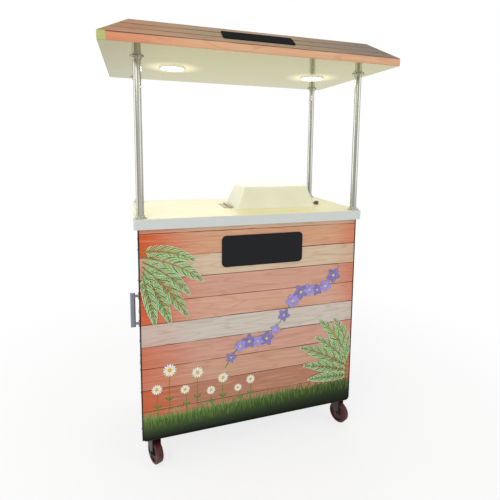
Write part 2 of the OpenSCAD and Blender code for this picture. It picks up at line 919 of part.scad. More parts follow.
// Turn button beside the hood, stored clear of the lip
module hood_catch() {
  arm_z = stud_foot_t + seat_gap;
  color("black") at_cart() translate([catch_x, -catch_front, counter_h]) difference() {
    union() {
      translate([-catch_w / 2, 0, arm_z]) cube([catch_w, catch_reach, catch_t]);
      translate([0, 0, arm_z]) cylinder(catch_t, catch_w / 2, catch_w / 2);
      translate([0, 0, arm_z]) cylinder(catch_t + catch_knob_h, catch_knob_r, catch_knob_r);
    }
    translate([0, 0, -overrun])
      cylinder(stud_h + seat_gap + overrun, stud_r + running_gap, stud_r + running_gap);
  }
}

// Mill
module at_mill() {
  at_cart() translate([mill_x, 0, 0]) children();
}

// Turns a piece modelled along X onto one of the three roller axes
module at_top_axis() {
  at_mill() translate([0, mill_y, top_axis_z]) children();
}

module at_low_axis(side) {
  at_mill() translate([0, mill_y + side * lower_dy, low_axis_z]) children();
}

module cheek_outline() {
  difference() {
    translate([mill_y, 0]) polygon([
      [-cheek_foot_half, rail_top], [cheek_foot_half, rail_top], [cheek_foot_half, rail_top + cheek_foot_h],
      [cheek_mid_half, cheek_waist_z], [cheek_mid_half, cheek_shoulder_z], [cheek_top_half, top_axis_z],
      [cheek_top_half, cheek_top], [-cheek_top_half, cheek_top], [-cheek_top_half, top_axis_z],
      [-cheek_mid_half, cheek_shoulder_z], [-cheek_mid_half, cheek_waist_z],
      [-cheek_foot_half, rail_top + cheek_foot_h]
    ]);
    translate([mill_y - block_w / 2, slot_floor]) square([block_w, cheek_top]);
    for (side = [-1, 1]) {
      translate([mill_y + side * lower_dy, low_axis_z]) circle(bush_r + press_gap);
      translate([mill_y + side * tie_dy, tie_z]) circle(tie_r + press_gap);
    }
  }
}

module cheek_plates() {
  color("silver") at_mill() {
    along_x(-cheek_out, -cheek_in) cheek_outline();
    along_x(cheek_in, cheek_out) cheek_outline();
  }
}

// Bar across the top of each cheek's slot, bored for its pressure screw
module cheek_caps() {
  color("silver") at_mill() for (side = [-1, 1])
    translate([side * (cheek_in + cheek_out) / 2, mill_y, cheek_top]) difference() {
      translate([-cheek_t / 2, -cheek_top_half, 0]) cube([cheek_t, 2 * cheek_top_half, cap_h]);
      translate([0, 0, -overrun])
        cylinder(cap_h + 2 * overrun, screw_r + press_gap, screw_r + press_gap);
    }
}

module bearing_blocks() {
  color("dimgray") at_mill() for (side = [-1, 1])
    translate([side * (cheek_in + cheek_out) / 2, mill_y, top_axis_z]) difference() {
      translate([-cheek_t / 2, press_gap - block_w / 2, -block_half])
        cube([cheek_t, block_w - 2 * press_gap, 2 * block_half]);
      rod_x(-cheek_t, cheek_t, bush_r + press_gap);
    }
}

// Flanged bronze bush that lines a cheek, its flange on the outer face
module bush(side) {
  rotate([0, side * 90, 0]) difference() {
    union() {
      translate([0, 0, cheek_in]) cylinder(cheek_t, bush_r, bush_r);
      translate([0, 0, cheek_out]) cylinder(bush_flange_t, bush_flange_r, bush_flange_r);
    }
    translate([0, 0, cheek_in - overrun])
      cylinder(cheek_t + bush_flange_t + 2 * overrun, shaft_r + running_gap, shaft_r + running_gap);
  }
}

module roller_bushes() {
  color("goldenrod") for (end = [-1, 1]) {
    at_top_axis() bush(end);
    for (side = [-1, 1])
      at_low_axis(side) bush(end);
  }
}

module pressure_screws() {
  base = top_axis_z + block_half;
  head = cheek_top + cap_h + screw_out;
  color("gray") at_mill() for (side = [-1, 1])
    translate([side * (cheek_in + cheek_out) / 2, mill_y, base]) {
      cylinder(head - base, screw_r, screw_r);
      translate([0, 0, head - base]) cylinder(screw_head_h, screw_head_r, screw_head_r, $fn = 6);
    }
}

module tie_bars() {
  end = cheek_out + tie_nut_t;
  color("gray") at_mill() for (side = [-1, 1])
    translate([0, mill_y + side * tie_dy, tie_z]) {
      rod_x(-end, end, tie_r);
      rotate([0, 90, 0]) for (x = [-end, cheek_out])
        translate([0, 0, x]) cylinder(tie_nut_t, tie_nut_r, tie_nut_r, $fn = 6);
    }
}

// Grooved roller on its shaft, from x = left to x = right of its middle
module roller(left, right) {
  half = roller_len / 2;
  pitch = roller_len / groove_count;
  land = groove_land_share * pitch;
  grooves = [
    for (i = [0 : groove_count - 1])
      for (p = [[roller_r, land], [roller_r - groove_depth, pitch / 2], [roller_r, pitch - land]])
        [p[0], i * pitch + p[1] - half]
  ];
  rotate([0, 90, 0]) rotate_extrude() polygon(concat(
    [[0, left], [shaft_r, left], [shaft_r, -half], [roller_r, -half]],
    grooves,
    [[roller_r, half], [shaft_r, half], [shaft_r, right], [0, right]]
  ));
}

module top_roller() {
  color("lightgray") at_top_axis() roller(shaft_left, shaft_right);
}

module front_roller() {
  color("lightgray") at_low_axis(-1) roller(shaft_left, shaft_right);
}

module rear_roller() {
  color("lightgray") at_low_axis(1) roller(shaft_left, drive_shaft_right);
}

// Involute spur gear: half the angle that a tooth takes up at a radius
function involute(angle) = tan(angle) * 180 / PI - angle;
function base_r() = pitch_r * cos(pressure_angle);
function pitch_half() = (PI * gear_module - backlash) / (4 * pitch_r) * 180 / PI;
function tooth_half(r) =
  pitch_half() + involute(pressure_angle) - involute(acos(min(1, base_r() / r)));

module gear_outline(phase) {
  tip_r = pitch_r + addendum_share * gear_module;
  root_r = pitch_r - dedendum_share * gear_module;
  flank = concat([root_r], [for (s = flank_shares) base_r() + s * (tip_r - base_r())]);
  last = len(flank) - 1;
  polygon([
    for (tooth = [0 : gear_teeth - 1], i = [0 : 2 * last + 1])
      let (
        rising = i <= last,
        r = flank[rising ? i : 2 * last + 1 - i],
        a = phase + tooth * 360 / gear_teeth + (rising ? -1 : 1) * tooth_half(r)
      )
        r * [cos(a), sin(a)]
  ]);
}

module gear(phase) {
  from = gear_x - mill_x;
  difference() {
    union() {
      along_x(from, from + gear_w) gear_outline(phase);
      rod_x(from, from + gear_w + gear_clear / 2, gear_hub_r);
    }
    rod_x(from - overrun, from + gear_w + gear_clear, shaft_r + press_gap);
  }
}

// A tooth of the top gear points up; each lower gear is turned so that its gap takes the top gear's tooth
top_phase = 90;
function mesh_phase(line) = 2 * line + 180 - top_phase + 180 / gear_teeth;

module top_gear() {
  color("gray") at_top_axis() gear(top_phase);
}

module front_gear() {
  color("gray") at_low_axis(-1) gear(mesh_phase(atan2(-lower_dz, -lower_dy)));
}

module rear_gear() {
  color("gray") at_low_axis(1) gear(mesh_phase(atan2(-lower_dz, lower_dy)));
}

// Curved plate that carries the cane from the first nip to the second
module trash_plate() {
  crown = top_axis_z - roller_r - trash_drop;
  color("silver") at_mill() along_x(-cheek_in, cheek_in) difference() {
    translate([mill_y - lower_dy, crown - trash_h]) square([lower_spread, trash_h + trash_drop]);
    translate([mill_y, top_axis_z]) circle(roller_r + trash_drop);
    for (side = [-1, 1])
      translate([mill_y + side * lower_dy, low_axis_z]) circle(roller_r + trash_clear);
  }
}

// Sloping tray that guides the cane from the mouth to the first nip; its ears lie on the cheeks' shoulders
module feed_tray() {
  half = cheek_in + feed_sheet;
  color("silver") at_mill() translate([0, nip_y, nip_z]) rotate([feed_angle, 0, 0])
    translate([0, 0, -feed_drop - feed_sheet]) {
      box([-half, feed_start, 0], [half, feed_start + feed_len, feed_sheet]);
      for (side = [0, 1])
        mirror([side, 0, 0]) {
          box([cheek_in, feed_seat, 0], [half, feed_start + feed_len, feed_side_h]);
          box([cheek_in, feed_seat, 0], [cheek_out, feed_seat + feed_sheet, feed_side_h]);
        }
    }
}

// Juice and waste
module tray_outline(shrink) {
  polygon([
    [shrink - tray_half, tray_top + (shrink > 0 ? overrun : 0)],
    [shrink - tray_half, tray_base + tray_fall + shrink],
    [tray_half - shrink, tray_base + shrink],
    [tray_half - shrink, tray_top + (shrink > 0 ? overrun : 0)]
  ]);
}

module juice_tray() {
  color("silver") at_mill() difference() {
    union() {
      difference() {
        translate([0, mill_y, 0]) along_x(-cheek_in, cheek_in) tray_outline(0);
        translate([0, mill_y, 0]) along_x(tray_wall - cheek_in, cheek_in - tray_wall) tray_outline(tray_wall);
      }
      for (end = [-1, 1])
        translate([0, mill_y + end * (tray_half - tray_wall), tray_top - strainer_drop - tray_wall])
          box([tray_wall - cheek_in, min(0, -end * ledge), -tray_wall],
              [cheek_in - tray_wall, max(0, -end * ledge), 0]);
      translate([0, mill_y, pipe_z]) rod_y(tray_half - tray_wall, tray_half + pipe_len, pipe_r);
    }
    translate([0, mill_y, pipe_z])
      rod_y(tray_half - 2 * tray_wall, tray_half + pipe_len + overrun, pipe_bore_r);
  }
}

// Perforated sheet that rests on the tray's two ledges
module strainer() {
  w = 2 * (cheek_in - tray_wall - seat_gap);
  d = 2 * (tray_half - tray_wall - seat_gap);
  nx = floor((w / 2 - strainer_pitch) / strainer_pitch);
  ny = floor((d / 2 - strainer_pitch - ledge) / strainer_pitch);
  color("gainsboro") at_mill() translate([0, mill_y, tray_top - strainer_drop - tray_wall]) difference() {
    translate([-w / 2, -d / 2, 0]) cube([w, d, strainer_t]);
    for (i = [-nx : nx], j = [-ny : ny])
      translate([i * strainer_pitch, j * strainer_pitch, -overrun])
        cylinder(strainer_t + 2 * overrun, strainer_hole_r, strainer_hole_r);
  }
}

module juice_tap() {
  color("silver") at_mill() difference() {
    translate([0, 0, pipe_z]) {
      rod_y(tap_y, tap_y + tap_len, tap_r);
      translate([0, outlet_y, -outlet_drop]) cylinder(outlet_drop, outlet_r, outlet_r);
      translate([0, stem_y, 0]) cylinder(tap_r + neck_h, neck_r, neck_r);
    }
    translate([0, 0, pipe_z]) {
      rod_y(tap_y - overrun, outlet_y, pipe_bore_r);
      translate([0, outlet_y, -outlet_drop - overrun])
        cylinder(outlet_drop + overrun, outlet_r - tray_wall, outlet_r - tray_wall);
      translate([0, stem_y, 0])
        cylinder(tap_r + neck_h + overrun, stem_r + running_gap, stem_r + running_gap);
    }
  }
}

module tap_lever() {
  top = tap_r + neck_h + seat_gap;
  color("black") at_mill() translate([0, stem_y, pipe_z]) {
    translate([0, 0, pipe_bore_r]) cylinder(top - pipe_bore_r, stem_r, stem_r);
    translate([0, 0, top]) cylinder(lever_t, neck_r, neck_r);
    translate([-lever_w / 2, 0, top]) cube([lever_w, lever_len - lever_w / 2, lever_t]);
    translate([0, lever_len - lever_w / 2, top]) cylinder(lever_t, lever_w / 2, lever_w / 2);
  }
}

// Bent duct in front of the mill: side view of its passage, grown by the sheet's thickness
module chute_outline(grow) {
  polygon([
    [chute_front_y - grow, chute_top + grow / 2], [chute_rear_y + grow, chute_top + grow / 2],
    [chute_rear_y + grow, chute_neck_z],
    [chute_foot_rear - chute_sheet + grow, chute_knee_z],
    [chute_foot_rear - chute_sheet + grow, chute_base - grow / 2],
    [chute_foot_rear - chute_foot_d - grow, chute_base - grow / 2],
    [chute_foot_rear - chute_foot_d - grow, chute_knee_z],
    [chute_front_y - grow, chute_neck_z]
  ]);
}

module bagasse_chute() {
  half = cheek_in - seat_gap;
  color("gainsboro") at_mill() difference() {
    along_x(-half, half) chute_outline(chute_sheet);
    along_x(chute_sheet - half, half - chute_sheet) chute_outline(0);
    box([chute_sheet - half, chute_front_y, chute_top - overrun],
        [half - chute_sheet, chute_rear_y, chute_top + chute_sheet + overrun]);
    box([chute_sheet - half, chute_foot_rear - chute_foot_d, chute_base - chute_sheet - overrun],
        [half - chute_sheet, chute_foot_rear - chute_sheet, chute_base + overrun]);
  }
}

module waste_bin() {
  color("darkolivegreen") at_cart() translate([bin_x, bin_y, shelf_top + seat_gap]) difference() {
    union() {
      translate([-bin_w / 2, -bin_d / 2, 0]) cube([bin_w, bin_d, bin_h]);
      translate([-bin_w / 2 - bin_rim, -bin_d / 2 - bin_rim, bin_h - bin_rim_t])
        cube([bin_w + 2 * bin_rim, bin_d + 2 * bin_rim, bin_rim_t]);
    }
    translate([bin_wall - bin_w / 2, bin_wall - bin_d / 2, bin_wall])
      cube([bin_w - 2 * bin_wall, bin_d - 2 * bin_wall, bin_h]);
    translate([0, bin_d / 2 + overrun, bin_h - bin_grip_drop - bin_grip_h / 2]) rotate([90, 0, 0])
      linear_extrude(bin_wall + 2 * overrun) rounded_rect(bin_grip_w, bin_grip_h, bin_grip_h / 2 - press_gap);
  }
}

// Drive: the motor hangs from a worm gearbox that sits on the rear roller's shaft
module at_worm() {
  at_cart() translate([drive_x, worm_y, 0]) children();
}

module gearbox_outline() {
  translate([shaft_y, low_axis_z]) circle(wheel_case_r);
  translate([worm_y, low_axis_z - wheel_case_r]) square([worm_offset, 2 * wheel_case_r]);
  translate([shaft_y, low_axis_z - wheel_case_r]) square([wheel_case_r, wheel_case_r]);
}

module gearbox() {
  color("steelblue") at_cart() difference() {
    union() {
      along_x(drive_x - gearbox_w / 2 + hub_out, drive_x + gearbox_w / 2 - hub_out) gearbox_outline();
      translate([0, shaft_y, low_axis_z]) rod_x(drive_x - gearbox_w / 2, drive_x + gearbox_w / 2, hub_r);
      translate([drive_x, worm_y, gearbox_base])
        cylinder(gearbox_top - gearbox_base, worm_case_r, worm_case_r);
      translate([drive_x, worm_y, gearbox_base]) cylinder(flange_plate_t, motor_flange_r, motor_flange_r);
    }
    translate([0, shaft_y, low_axis_z])
      rod_x(drive_x - gearbox_w, drive_x + gearbox_w, shaft_r + running_gap);
  }
}

// Finned motor body between two end shields, with its flange and its terminal box
module motor() {
  base = motor_top - motor_len;
  color("steelblue") at_worm() {
    translate([0, 0, motor_top]) cylinder(flange_plate_t, motor_flange_r, motor_flange_r);
    translate([0, 0, base]) cylinder(motor_len, motor_core_r, motor_core_r);
    for (z = [base, motor_top - fin_h])
      translate([0, 0, z]) cylinder(fin_h, motor_d / 2, motor_d / 2);
    for (i = [0 : fin_count - 1])
      rotate([0, 0, i * 360 / fin_count]) translate([0, -fin_t / 2, base + fin_h])
        cube([motor_d / 2, fin_t, motor_len - 2 * fin_h]);
    translate([-term_w / 2, 0, motor_top - term_drop - term_h / 2])
      cube([term_w, motor_d / 2 + term_d, term_h]);
    translate([0, motor_d / 2 + term_d / 2, motor_top - term_drop - term_h / 2 - gland_len])
      cylinder(gland_len, gland_r, gland_r);
  }
}

module fan_cowl() {
  base = motor_top - motor_len - cowl_len;
  color("steelblue") at_worm() translate([0, 0, base]) difference() {
    cylinder(cowl_len, motor_d / 2, motor_d / 2);
    translate([0, 0, cowl_wall])
      cylinder(cowl_len, motor_d / 2 - cowl_wall, motor_d / 2 - cowl_wall);
    for (i = [0 : slot_count - 1])
      rotate([0, 0, i * 360 / slot_count]) translate([motor_d / 6, -slot_w / 2, -overrun])
        cube([motor_d / 4, slot_w, cowl_wall + 2 * overrun]);
  }
}

// Start and stop switch on the right rear upright, facing the operator
module at_switch() {
  at_cart() translate([upright_x - switch_w / 2, frame_rear - tube, switch_z]) children();
}

module switch_box() {
  color("gray") at_switch() difference() {
    translate([-switch_w / 2, tube - switch_d, 0]) cube([switch_w, switch_d, switch_h]);
    for (share = button_rise_shares)
      translate([0, 0, share * switch_h])
        rod_y(tube - button_h, tube + overrun, button_r + button_bore_gap);
  }
}

module push_button(share) {
  at_switch() translate([0, 0, share * switch_h])
    rod_y(tube - button_seat + seat_gap, tube + button_h, button_r);
}

module start_button() {
  color("green") push_button(button_rise_shares[1]);
}

module stop_button() {
  color("red") push_button(button_rise_shares[0]);
}

// Casters
module at_swivel(side, end) {
  at_cart() translate([side * caster_x, end < 0 ? caster_front_y : caster_rear_y, 0]) children();
}

module at_caster(side, end) {
  at_swivel(side, end) rotate([0, 0, caster_turn]) children();
}

// Top plates with their lower races and king pins
module caster_plates() {
  color("silver") for (side = [-1, 1], end = [-1, 1])
    at_swivel(side, end) {
      translate([-caster_plate_w / 2, -caster_plate_w / 2, caster_h - plate_t])
        cube([caster_plate_w, caster_plate_w, plate_t]);
      translate([0, 0, caster_h - plate_t - boss_h]) cylinder(boss_h, boss_r, boss_r);
      translate([0, 0, crown_z - race_gap]) cylinder(caster_h - plate_t - crown_z, king_r, king_r);
      translate([0, 0, crown_z - race_gap - king_nut_t])
        cylinder(king_nut_t, king_nut_r, king_nut_r, $fn = 6);
    }
}

module leg_outline() {
  translate([-caster_trail, wheel_r]) circle(leg_r);
  polygon([
    [-caster_trail - leg_r, wheel_r], [-caster_trail + leg_r, wheel_r],
    [leg_top_w / 2, crown_z], [leg_top_w / 2, crown_z + crown_t],
    [-leg_top_w, crown_z + crown_t], [-leg_top_w, crown_z]
  ]);
}

module caster_fork(side, end) {
  leg_in = wheel_w / 2 + fork_gap;
  leg_out = leg_in + leg_t;
  color("black") at_caster(side, end) difference() {
    union() {
      along_x(-leg_out, -leg_in) leg_outline();
      along_x(leg_in, leg_out) leg_outline();
      box([-leg_out, -leg_top_w, crown_z], [leg_out, leg_top_w / 2, crown_z + crown_t]);
      translate([0, 0, crown_z]) cylinder(crown_h, crown_r, crown_r);
      translate([0, -caster_trail, wheel_r]) {
        rod_x(-leg_out - axle_head_t, leg_out + axle_head_t, axle_r);
        rotate([0, 90, 0]) for (x = [-leg_out - axle_head_t, leg_out])
          translate([0, 0, x]) cylinder(axle_head_t, axle_head_r, axle_head_r, $fn = 6);
      }
    }
    translate([0, 0, crown_z - overrun])
      cylinder(crown_h + 2 * overrun, king_r + running_gap, king_r + running_gap);
  }
}

// Wheel with a round-edged tread, dished sides and a bored hub
module caster_wheel(side, end) {
  half = wheel_w / 2;
  dish = wheel_w / 6;
  color("maroon") at_caster(side, end) translate([0, -caster_trail, wheel_r]) rotate([0, 90, 0])
    difference() {
      rotate_extrude() {
        polygon([
          [0, -half - fork_gap / 2], [wheel_hub_r, -half - fork_gap / 2], [wheel_hub_r, dish - half],
          [wheel_r - 2 * wheel_tread_r, dish - half], [wheel_r - 2 * wheel_tread_r, -half],
          [wheel_r - wheel_tread_r, -half], [wheel_r, wheel_tread_r - half], [wheel_r, half - wheel_tread_r],
          [wheel_r - wheel_tread_r, half], [wheel_r - 2 * wheel_tread_r, half],
          [wheel_r - 2 * wheel_tread_r, half - dish], [wheel_hub_r, half - dish],
          [wheel_hub_r, half + fork_gap / 2], [0, half + fork_gap / 2]
        ]);
        for (z = [wheel_tread_r - half, half - wheel_tread_r])
          translate([wheel_r - wheel_tread_r, z]) circle(wheel_tread_r);
      }
      translate([0, 0, -wheel_w]) cylinder(2 * wheel_w, axle_r + running_gap, axle_r + running_gap);
    }
}

module fork_front_left() {
  caster_fork(-1, -1);
}

module fork_front_right() {
  caster_fork(1, -1);
}

module fork_rear_left() {
  caster_fork(-1, 1);
}

module fork_rear_right() {
  caster_fork(1, 1);
}

module wheel_front_left() {
  caster_wheel(-1, -1);
}

module wheel_front_right() {
  caster_wheel(1, -1);
}

module wheel_rear_left() {
  caster_wheel(-1, 1);
}

module wheel_rear_right() {
  caster_wheel(1, 1);
}

base_frame();
corner_uprights();
frame_rails();
deck_sheets();
front_panel();
side_panels();
mains_inlet();
counter_top();
front_sign_plate();
grab_handle();
door_hinge_pins();
door_left();
door_right();
canopy_posts();
post_flanges();
roof_shell();
roof_frame();
ceiling_panel();
lamp_rims();
lamp_lenses();
roof_sign_plate();
hood();
hood_mounts();
hood_hinge_leaf();
hood_catch();
cheek_plates();
cheek_caps();
bearing_blocks();
roller_bushes();
pressure_screws();
tie_bars();
top_roller();
top_gear();
front_roller();
front_gear();
rear_roller();
rear_gear();
trash_plate();
feed_tray();
juice_tray();
strainer();
juice_tap();
tap_lever();
bagasse_chute();
waste_bin();
motor();
fan_cowl();
gearbox();
switch_box();
start_button();
stop_button();
caster_plates();
fork_front_left();
fork_front_right();
fork_rear_left();
fork_rear_right();
wheel_front_left();
wheel_front_right();
wheel_rear_left();
wheel_rear_right();
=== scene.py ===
"""Looks of a sugarcane juice cart: finishes, printed panels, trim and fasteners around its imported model."""

import json
from functools import cache
from itertools import product
from math import cos, pi, radians, sin
from random import Random

import bmesh
import bpy
from bpy.props import FloatProperty, FloatVectorProperty, IntProperty, PointerProperty
from bpy.types import Operator, Panel, PropertyGroup
from mathutils import Matrix, Vector


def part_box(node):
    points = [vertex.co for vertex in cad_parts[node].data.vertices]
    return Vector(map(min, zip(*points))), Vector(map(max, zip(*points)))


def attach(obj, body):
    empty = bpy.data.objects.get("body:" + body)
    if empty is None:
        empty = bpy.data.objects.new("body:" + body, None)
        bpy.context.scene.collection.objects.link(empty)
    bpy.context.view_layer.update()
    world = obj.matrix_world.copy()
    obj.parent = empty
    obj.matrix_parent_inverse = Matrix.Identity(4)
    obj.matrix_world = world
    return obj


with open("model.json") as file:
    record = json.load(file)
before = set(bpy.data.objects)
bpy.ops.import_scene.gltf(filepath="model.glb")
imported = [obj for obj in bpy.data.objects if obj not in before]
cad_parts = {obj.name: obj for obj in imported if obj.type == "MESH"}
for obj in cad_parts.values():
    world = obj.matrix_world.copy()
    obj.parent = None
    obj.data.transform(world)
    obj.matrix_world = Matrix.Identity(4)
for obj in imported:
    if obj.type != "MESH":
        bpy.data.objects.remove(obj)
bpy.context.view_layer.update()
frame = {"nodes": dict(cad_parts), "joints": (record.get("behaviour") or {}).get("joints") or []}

bl_info = {
    "name": "Sugarcane Juice Cart",
    "version": (1, 0, 0),
    "blender": (4, 5, 0),
    "location": "View3D > Sidebar > Juice Cart",
    "description": "Dresses the packed juice cart with its finishes, print, trim and fasteners",
    "category": "Object",
}

CART = "cart"
CORNERS = ("front_left", "front_right", "rear_left", "rear_right")
JOINTS = {joint["name"]: joint for joint in frame["joints"]}
MM = 0.001
CIRCLE = 2 * pi
SIDES = (-1, 1)
EVEN = (1, 1, 1)
UP, DOWN = (0, 0, 1), (0, 0, -1)
WHITE, BLACK = (1.0, 1.0, 1.0, 1.0), (0.0, 0.0, 0.0, 1.0)
FILM_GLOSS = 0.1


def srgb(red, green, blue):
    """Linear colour of the eight-bit values on a paint chart."""
    shares = [value / 255 for value in (red, green, blue)]
    return tuple(s / 12.92 if s <= 0.04045 else ((s + 0.055) / 1.055) ** 2.4 for s in shares) + (1.0,)


def shade(colour, factor):
    """The same colour, darker or lighter by a factor."""
    return tuple(min(1.0, channel * factor) for channel in colour[:3]) + (1.0,)


def paint(name, description, chart):
    """Colour property, given by its values on a paint chart."""
    return FloatVectorProperty(
        name=name, description=description, subtype="COLOR", size=4, min=0.0, max=1.0, default=srgb(*chart)
    )


def length(name, description, millimetres):
    """Length property, given in millimetres."""
    metres = millimetres * MM
    return FloatProperty(name=name, description=description, unit="LENGTH", precision=4, default=metres)


def number(name, description, value, subtype="NONE"):
    """Plain number, angle or power property."""
    return FloatProperty(name=name, description=description, subtype=subtype, default=value)


class CartPaint(PropertyGroup):
    """Colours of the cart's finishes."""

    frame_black: paint("Frame black", "Paint of the base frame, uprights and side panels", (14, 14, 15))
    frame_grey: paint("Frame grey", "Paint of the inner rails and the roof frame", (104, 106, 108))
    # Painted lamp light: the counter's cream stands in for the lamps' warm light on its top
    counter: paint("Counter", "Cream laminate of the counter", (233, 226, 178))
    edging: paint("Counter edging", "Pale edging of the counter", (203, 208, 206))
    hood: paint("Hood", "Enamel of the hood", (237, 236, 214))
    steel: paint("Stainless steel", "Brushed sheet of doors, trays and chute", (190, 191, 188))
    post: paint("Posts", "Polished tube of the posts and their flanges", (172, 172, 162))
    ceiling: paint("Ceiling", "Glossy sheet of the ceiling", (174, 166, 84))
    plate: paint("Sign plates", "Black of both plates", (15, 17, 22))
    drive: paint("Drive", "Machine paint of the motor, its cowl and the gearbox", (88, 108, 122))
    iron: paint("Gears", "Oiled cast iron of the gears and bearing blocks", (96, 96, 98))
    bronze: paint("Bushes", "Turned bronze of the bushes", (196, 160, 96))
    bin: paint("Bin", "Moulded plastic of the waste bin", (74, 96, 66))
    wheel: paint("Wheels", "Paint of the wheels", (72, 28, 28))
    leaf: paint("Leaf green", "Ink of the printed leaves", (112, 168, 78))
    violet: paint("Violet", "Ink of the printed blossoms", (132, 124, 182))


class CartPrint(PropertyGroup):
    """Layout of the printed planks and of the printed garden on the front."""

    seam_top: length("First seam", "Height of the first plank seam above the floor", 1055)
    plank: length("Plank", "Height of a printed plank", 97.4)
    seam: length("Seam", "Half width of a dark seam", 2.6)
    grass: length("Grass", "Mean height of the grass above the floor", 260)
    blade: length("Blade", "Height that the tallest blades stand over the rest", 34)
    blade_width: length("Blade width", "Width of a blade of grass", 3.6)
    grass_slope: number("Grass slope", "Rise of the grass to the right", 0.012)
    rib: length("Rib", "Width of a frond's midrib and of the vine", 5)
    stalk: length("Stalk", "Width of a daisy's stalk", 4.5)
    ink: length("Ink", "Thickness of a printed film layer", 0.12)
    trim: length("Edge trim", "Width of the black edge trim", 4.5)
    trim_rise: length("Trim rise", "Thickness of the black edge trim", 1.6)
    trim_corner: length("Trim corner", "Radius of the trim's lower corners", 20)
    seed: IntProperty(name="Seed", description="Start of the scattered leaves and blades", default=7)


class CartStage(PropertyGroup):
    """Camera and light."""

    eye: FloatVectorProperty(
        name="Camera", description="Camera's place", subtype="TRANSLATION", default=(-0.4806, -1.8146, 1.4146)
    )
    yaw: number("Yaw", "Turn to the right", 0.313, "ANGLE")
    pitch: number("Pitch", "Tilt downwards", 0.114, "ANGLE")
    roll: number("Roll", "Roll of the camera", 0.013, "ANGLE")
    lens: number("Lens", "Focal length in millimetres", 28.21)
    shift_x: number("Shift X", "Sideways shift of the frame", -0.0218)
    shift_y: number("Shift Y", "Upward shift of the frame", -0.116)
    ambient: number("Ambient", "Strength of the white surroundings", 0.62)
    key: number("Key", "Power of the key light", 62.0, "POWER")
    fill: number("Fill", "Power of each other light around the cart", 24.0, "POWER")
    lamp: number("Lamps", "Strength of the canopy's lamp lenses", 9.0)
    beam: number("Beams", "Power of the light below each lamp", 0.5, "POWER")


def settings(group):
    """The scene's settings of a group: paint, print or stage."""
    return getattr(bpy.context.scene, "juice_cart_" + group)


class Wire:
    """A shader socket that Python's operators do sums with."""

    def __init__(self, finish, socket):
        self.finish = finish
        self.socket = socket

    def by(self, operation, *others):
        """A Math node that has this value first."""
        return self.finish.math(operation, self, *others)

    def __add__(self, other):
        return self.by("ADD", other)

    def __sub__(self, other):
        return self.by("SUBTRACT", other)

    def __rsub__(self, other):
        return self.finish.math("SUBTRACT", other, self)

    def __mul__(self, other):
        return self.by("MULTIPLY", other)

    def __truediv__(self, other):
        return self.by("DIVIDE", other)

    def __rtruediv__(self, other):
        return self.finish.math("DIVIDE", other, self)

    def __abs__(self):
        return self.by("ABSOLUTE")

    __radd__ = __add__
    __rmul__ = __mul__


class Finish:
    """A material under construction: one node method, and the patterns that the finishes share."""

    def __init__(self, name, gloss=0.5, tree=None):
        self.tree = tree
        if tree is None:
            self.material = bpy.data.materials.new(name)
            self.material.use_nodes = True
            self.tree = self.material.node_tree
            self.shader = self.tree.nodes["Principled BSDF"]
            self.set({"Specular IOR Level": gloss})
        self.place = self.node("ShaderNodeTexCoord", out="Object")

    def node(self, kind, inputs=None, out=0, **options):
        made = self.tree.nodes.new(kind)
        for key, value in options.items():
            setattr(made, key, value)
        for key, value in (inputs or {}).items():
            self.feed(made.inputs[key], value)
        return Wire(self, made.outputs[out])

    def feed(self, socket, value):
        if isinstance(value, Wire):
            self.tree.links.new(value.socket, socket)
        else:
            socket.default_value = value

    def set(self, values):
        for key, value in values.items():
            self.feed(self.shader.inputs[key], value)
        return self

    def coat(self, tone, rough, metal=0.0):
        """Colour, roughness and metal of the surface."""
        return self.set({"Base Color": tone, "Roughness": rough, "Metallic": metal})

    def relief(self, height, depth, strength=1.0):
        """Bump from a height pattern of a depth in millimetres."""
        bump = self.node("ShaderNodeBump", {"Height": height, "Distance": depth * MM, "Strength": strength})
        return self.set({"Normal": bump})

    def math(self, operation, *values):
        return self.node("ShaderNodeMath", dict(enumerate(values)), operation=operation)

    def axis(self, letter):
        return self.node("ShaderNodeSeparateXYZ", {0: self.place}, out=letter)

    def noise(self, size, stretch=EVEN, detail=3.0):
        """Cloudy pattern with features of a size in millimetres, drawn out along the axes by the stretch."""
        spot = self.node("ShaderNodeVectorMath", {0: self.place, 1: stretch}, operation="DIVIDE")
        return self.node("ShaderNodeTexNoise", {"Vector": spot, "Scale": 1 / (size * MM), "Detail": detail})

    def step(self, value, low, high):
        """0 below low, 1 above high, with a soft rise between them."""
        span = {0: value, 1: low, 2: high}
        return self.node("ShaderNodeMapRange", span, interpolation_type="SMOOTHSTEP")

    def mix(self, share, first, second):
        return self.node("ShaderNodeMix", {0: share, 6: first, 7: second}, 2, data_type="RGBA")

    def shades(self, pattern, colour, dark, light):
        """A colour that a pattern takes from a darker to a lighter shade."""
        return self.mix(pattern, shade(colour, dark), shade(colour, light))

    def ramp(self, value, stops, interpolation="LINEAR"):
        made = self.node("ShaderNodeValToRGB", {0: value})
        band = made.socket.node.color_ramp
        while len(band.elements) < len(stops):
            band.elements.new(1.0)
        for element, (position, colour) in zip(band.elements, stops):
            element.position = position
            element.color = colour
        band.interpolation = interpolation
        return made


def painted(name, colour, rough=0.42, wear=0.35, grime=0.3, gloss=0.5):
    """Paint on sheet or tube: cloudy tone, fine peel, rubbed spots and settled dust."""
    finish = Finish(name, gloss)
    cloud = finish.noise(160)
    peel = finish.noise(3.5, detail=2.0)
    rubbed = finish.step(finish.noise(18, detail=7.0), 0.67, 0.76) * wear
    dusty = finish.step(finish.noise(70, (1, 1, 2), 5.0), 0.5, 0.8) * grime
    tone = finish.shades(cloud, colour, 0.86, 1.1)
    tone = finish.mix(rubbed, tone, shade(colour, 2.6))
    tone = finish.mix(dusty, tone, srgb(146, 138, 124))
    return finish.coat(tone, dusty * 0.5 + cloud * 0.12 + (rough - 0.06)).relief(peel, 0.08, 0.5)


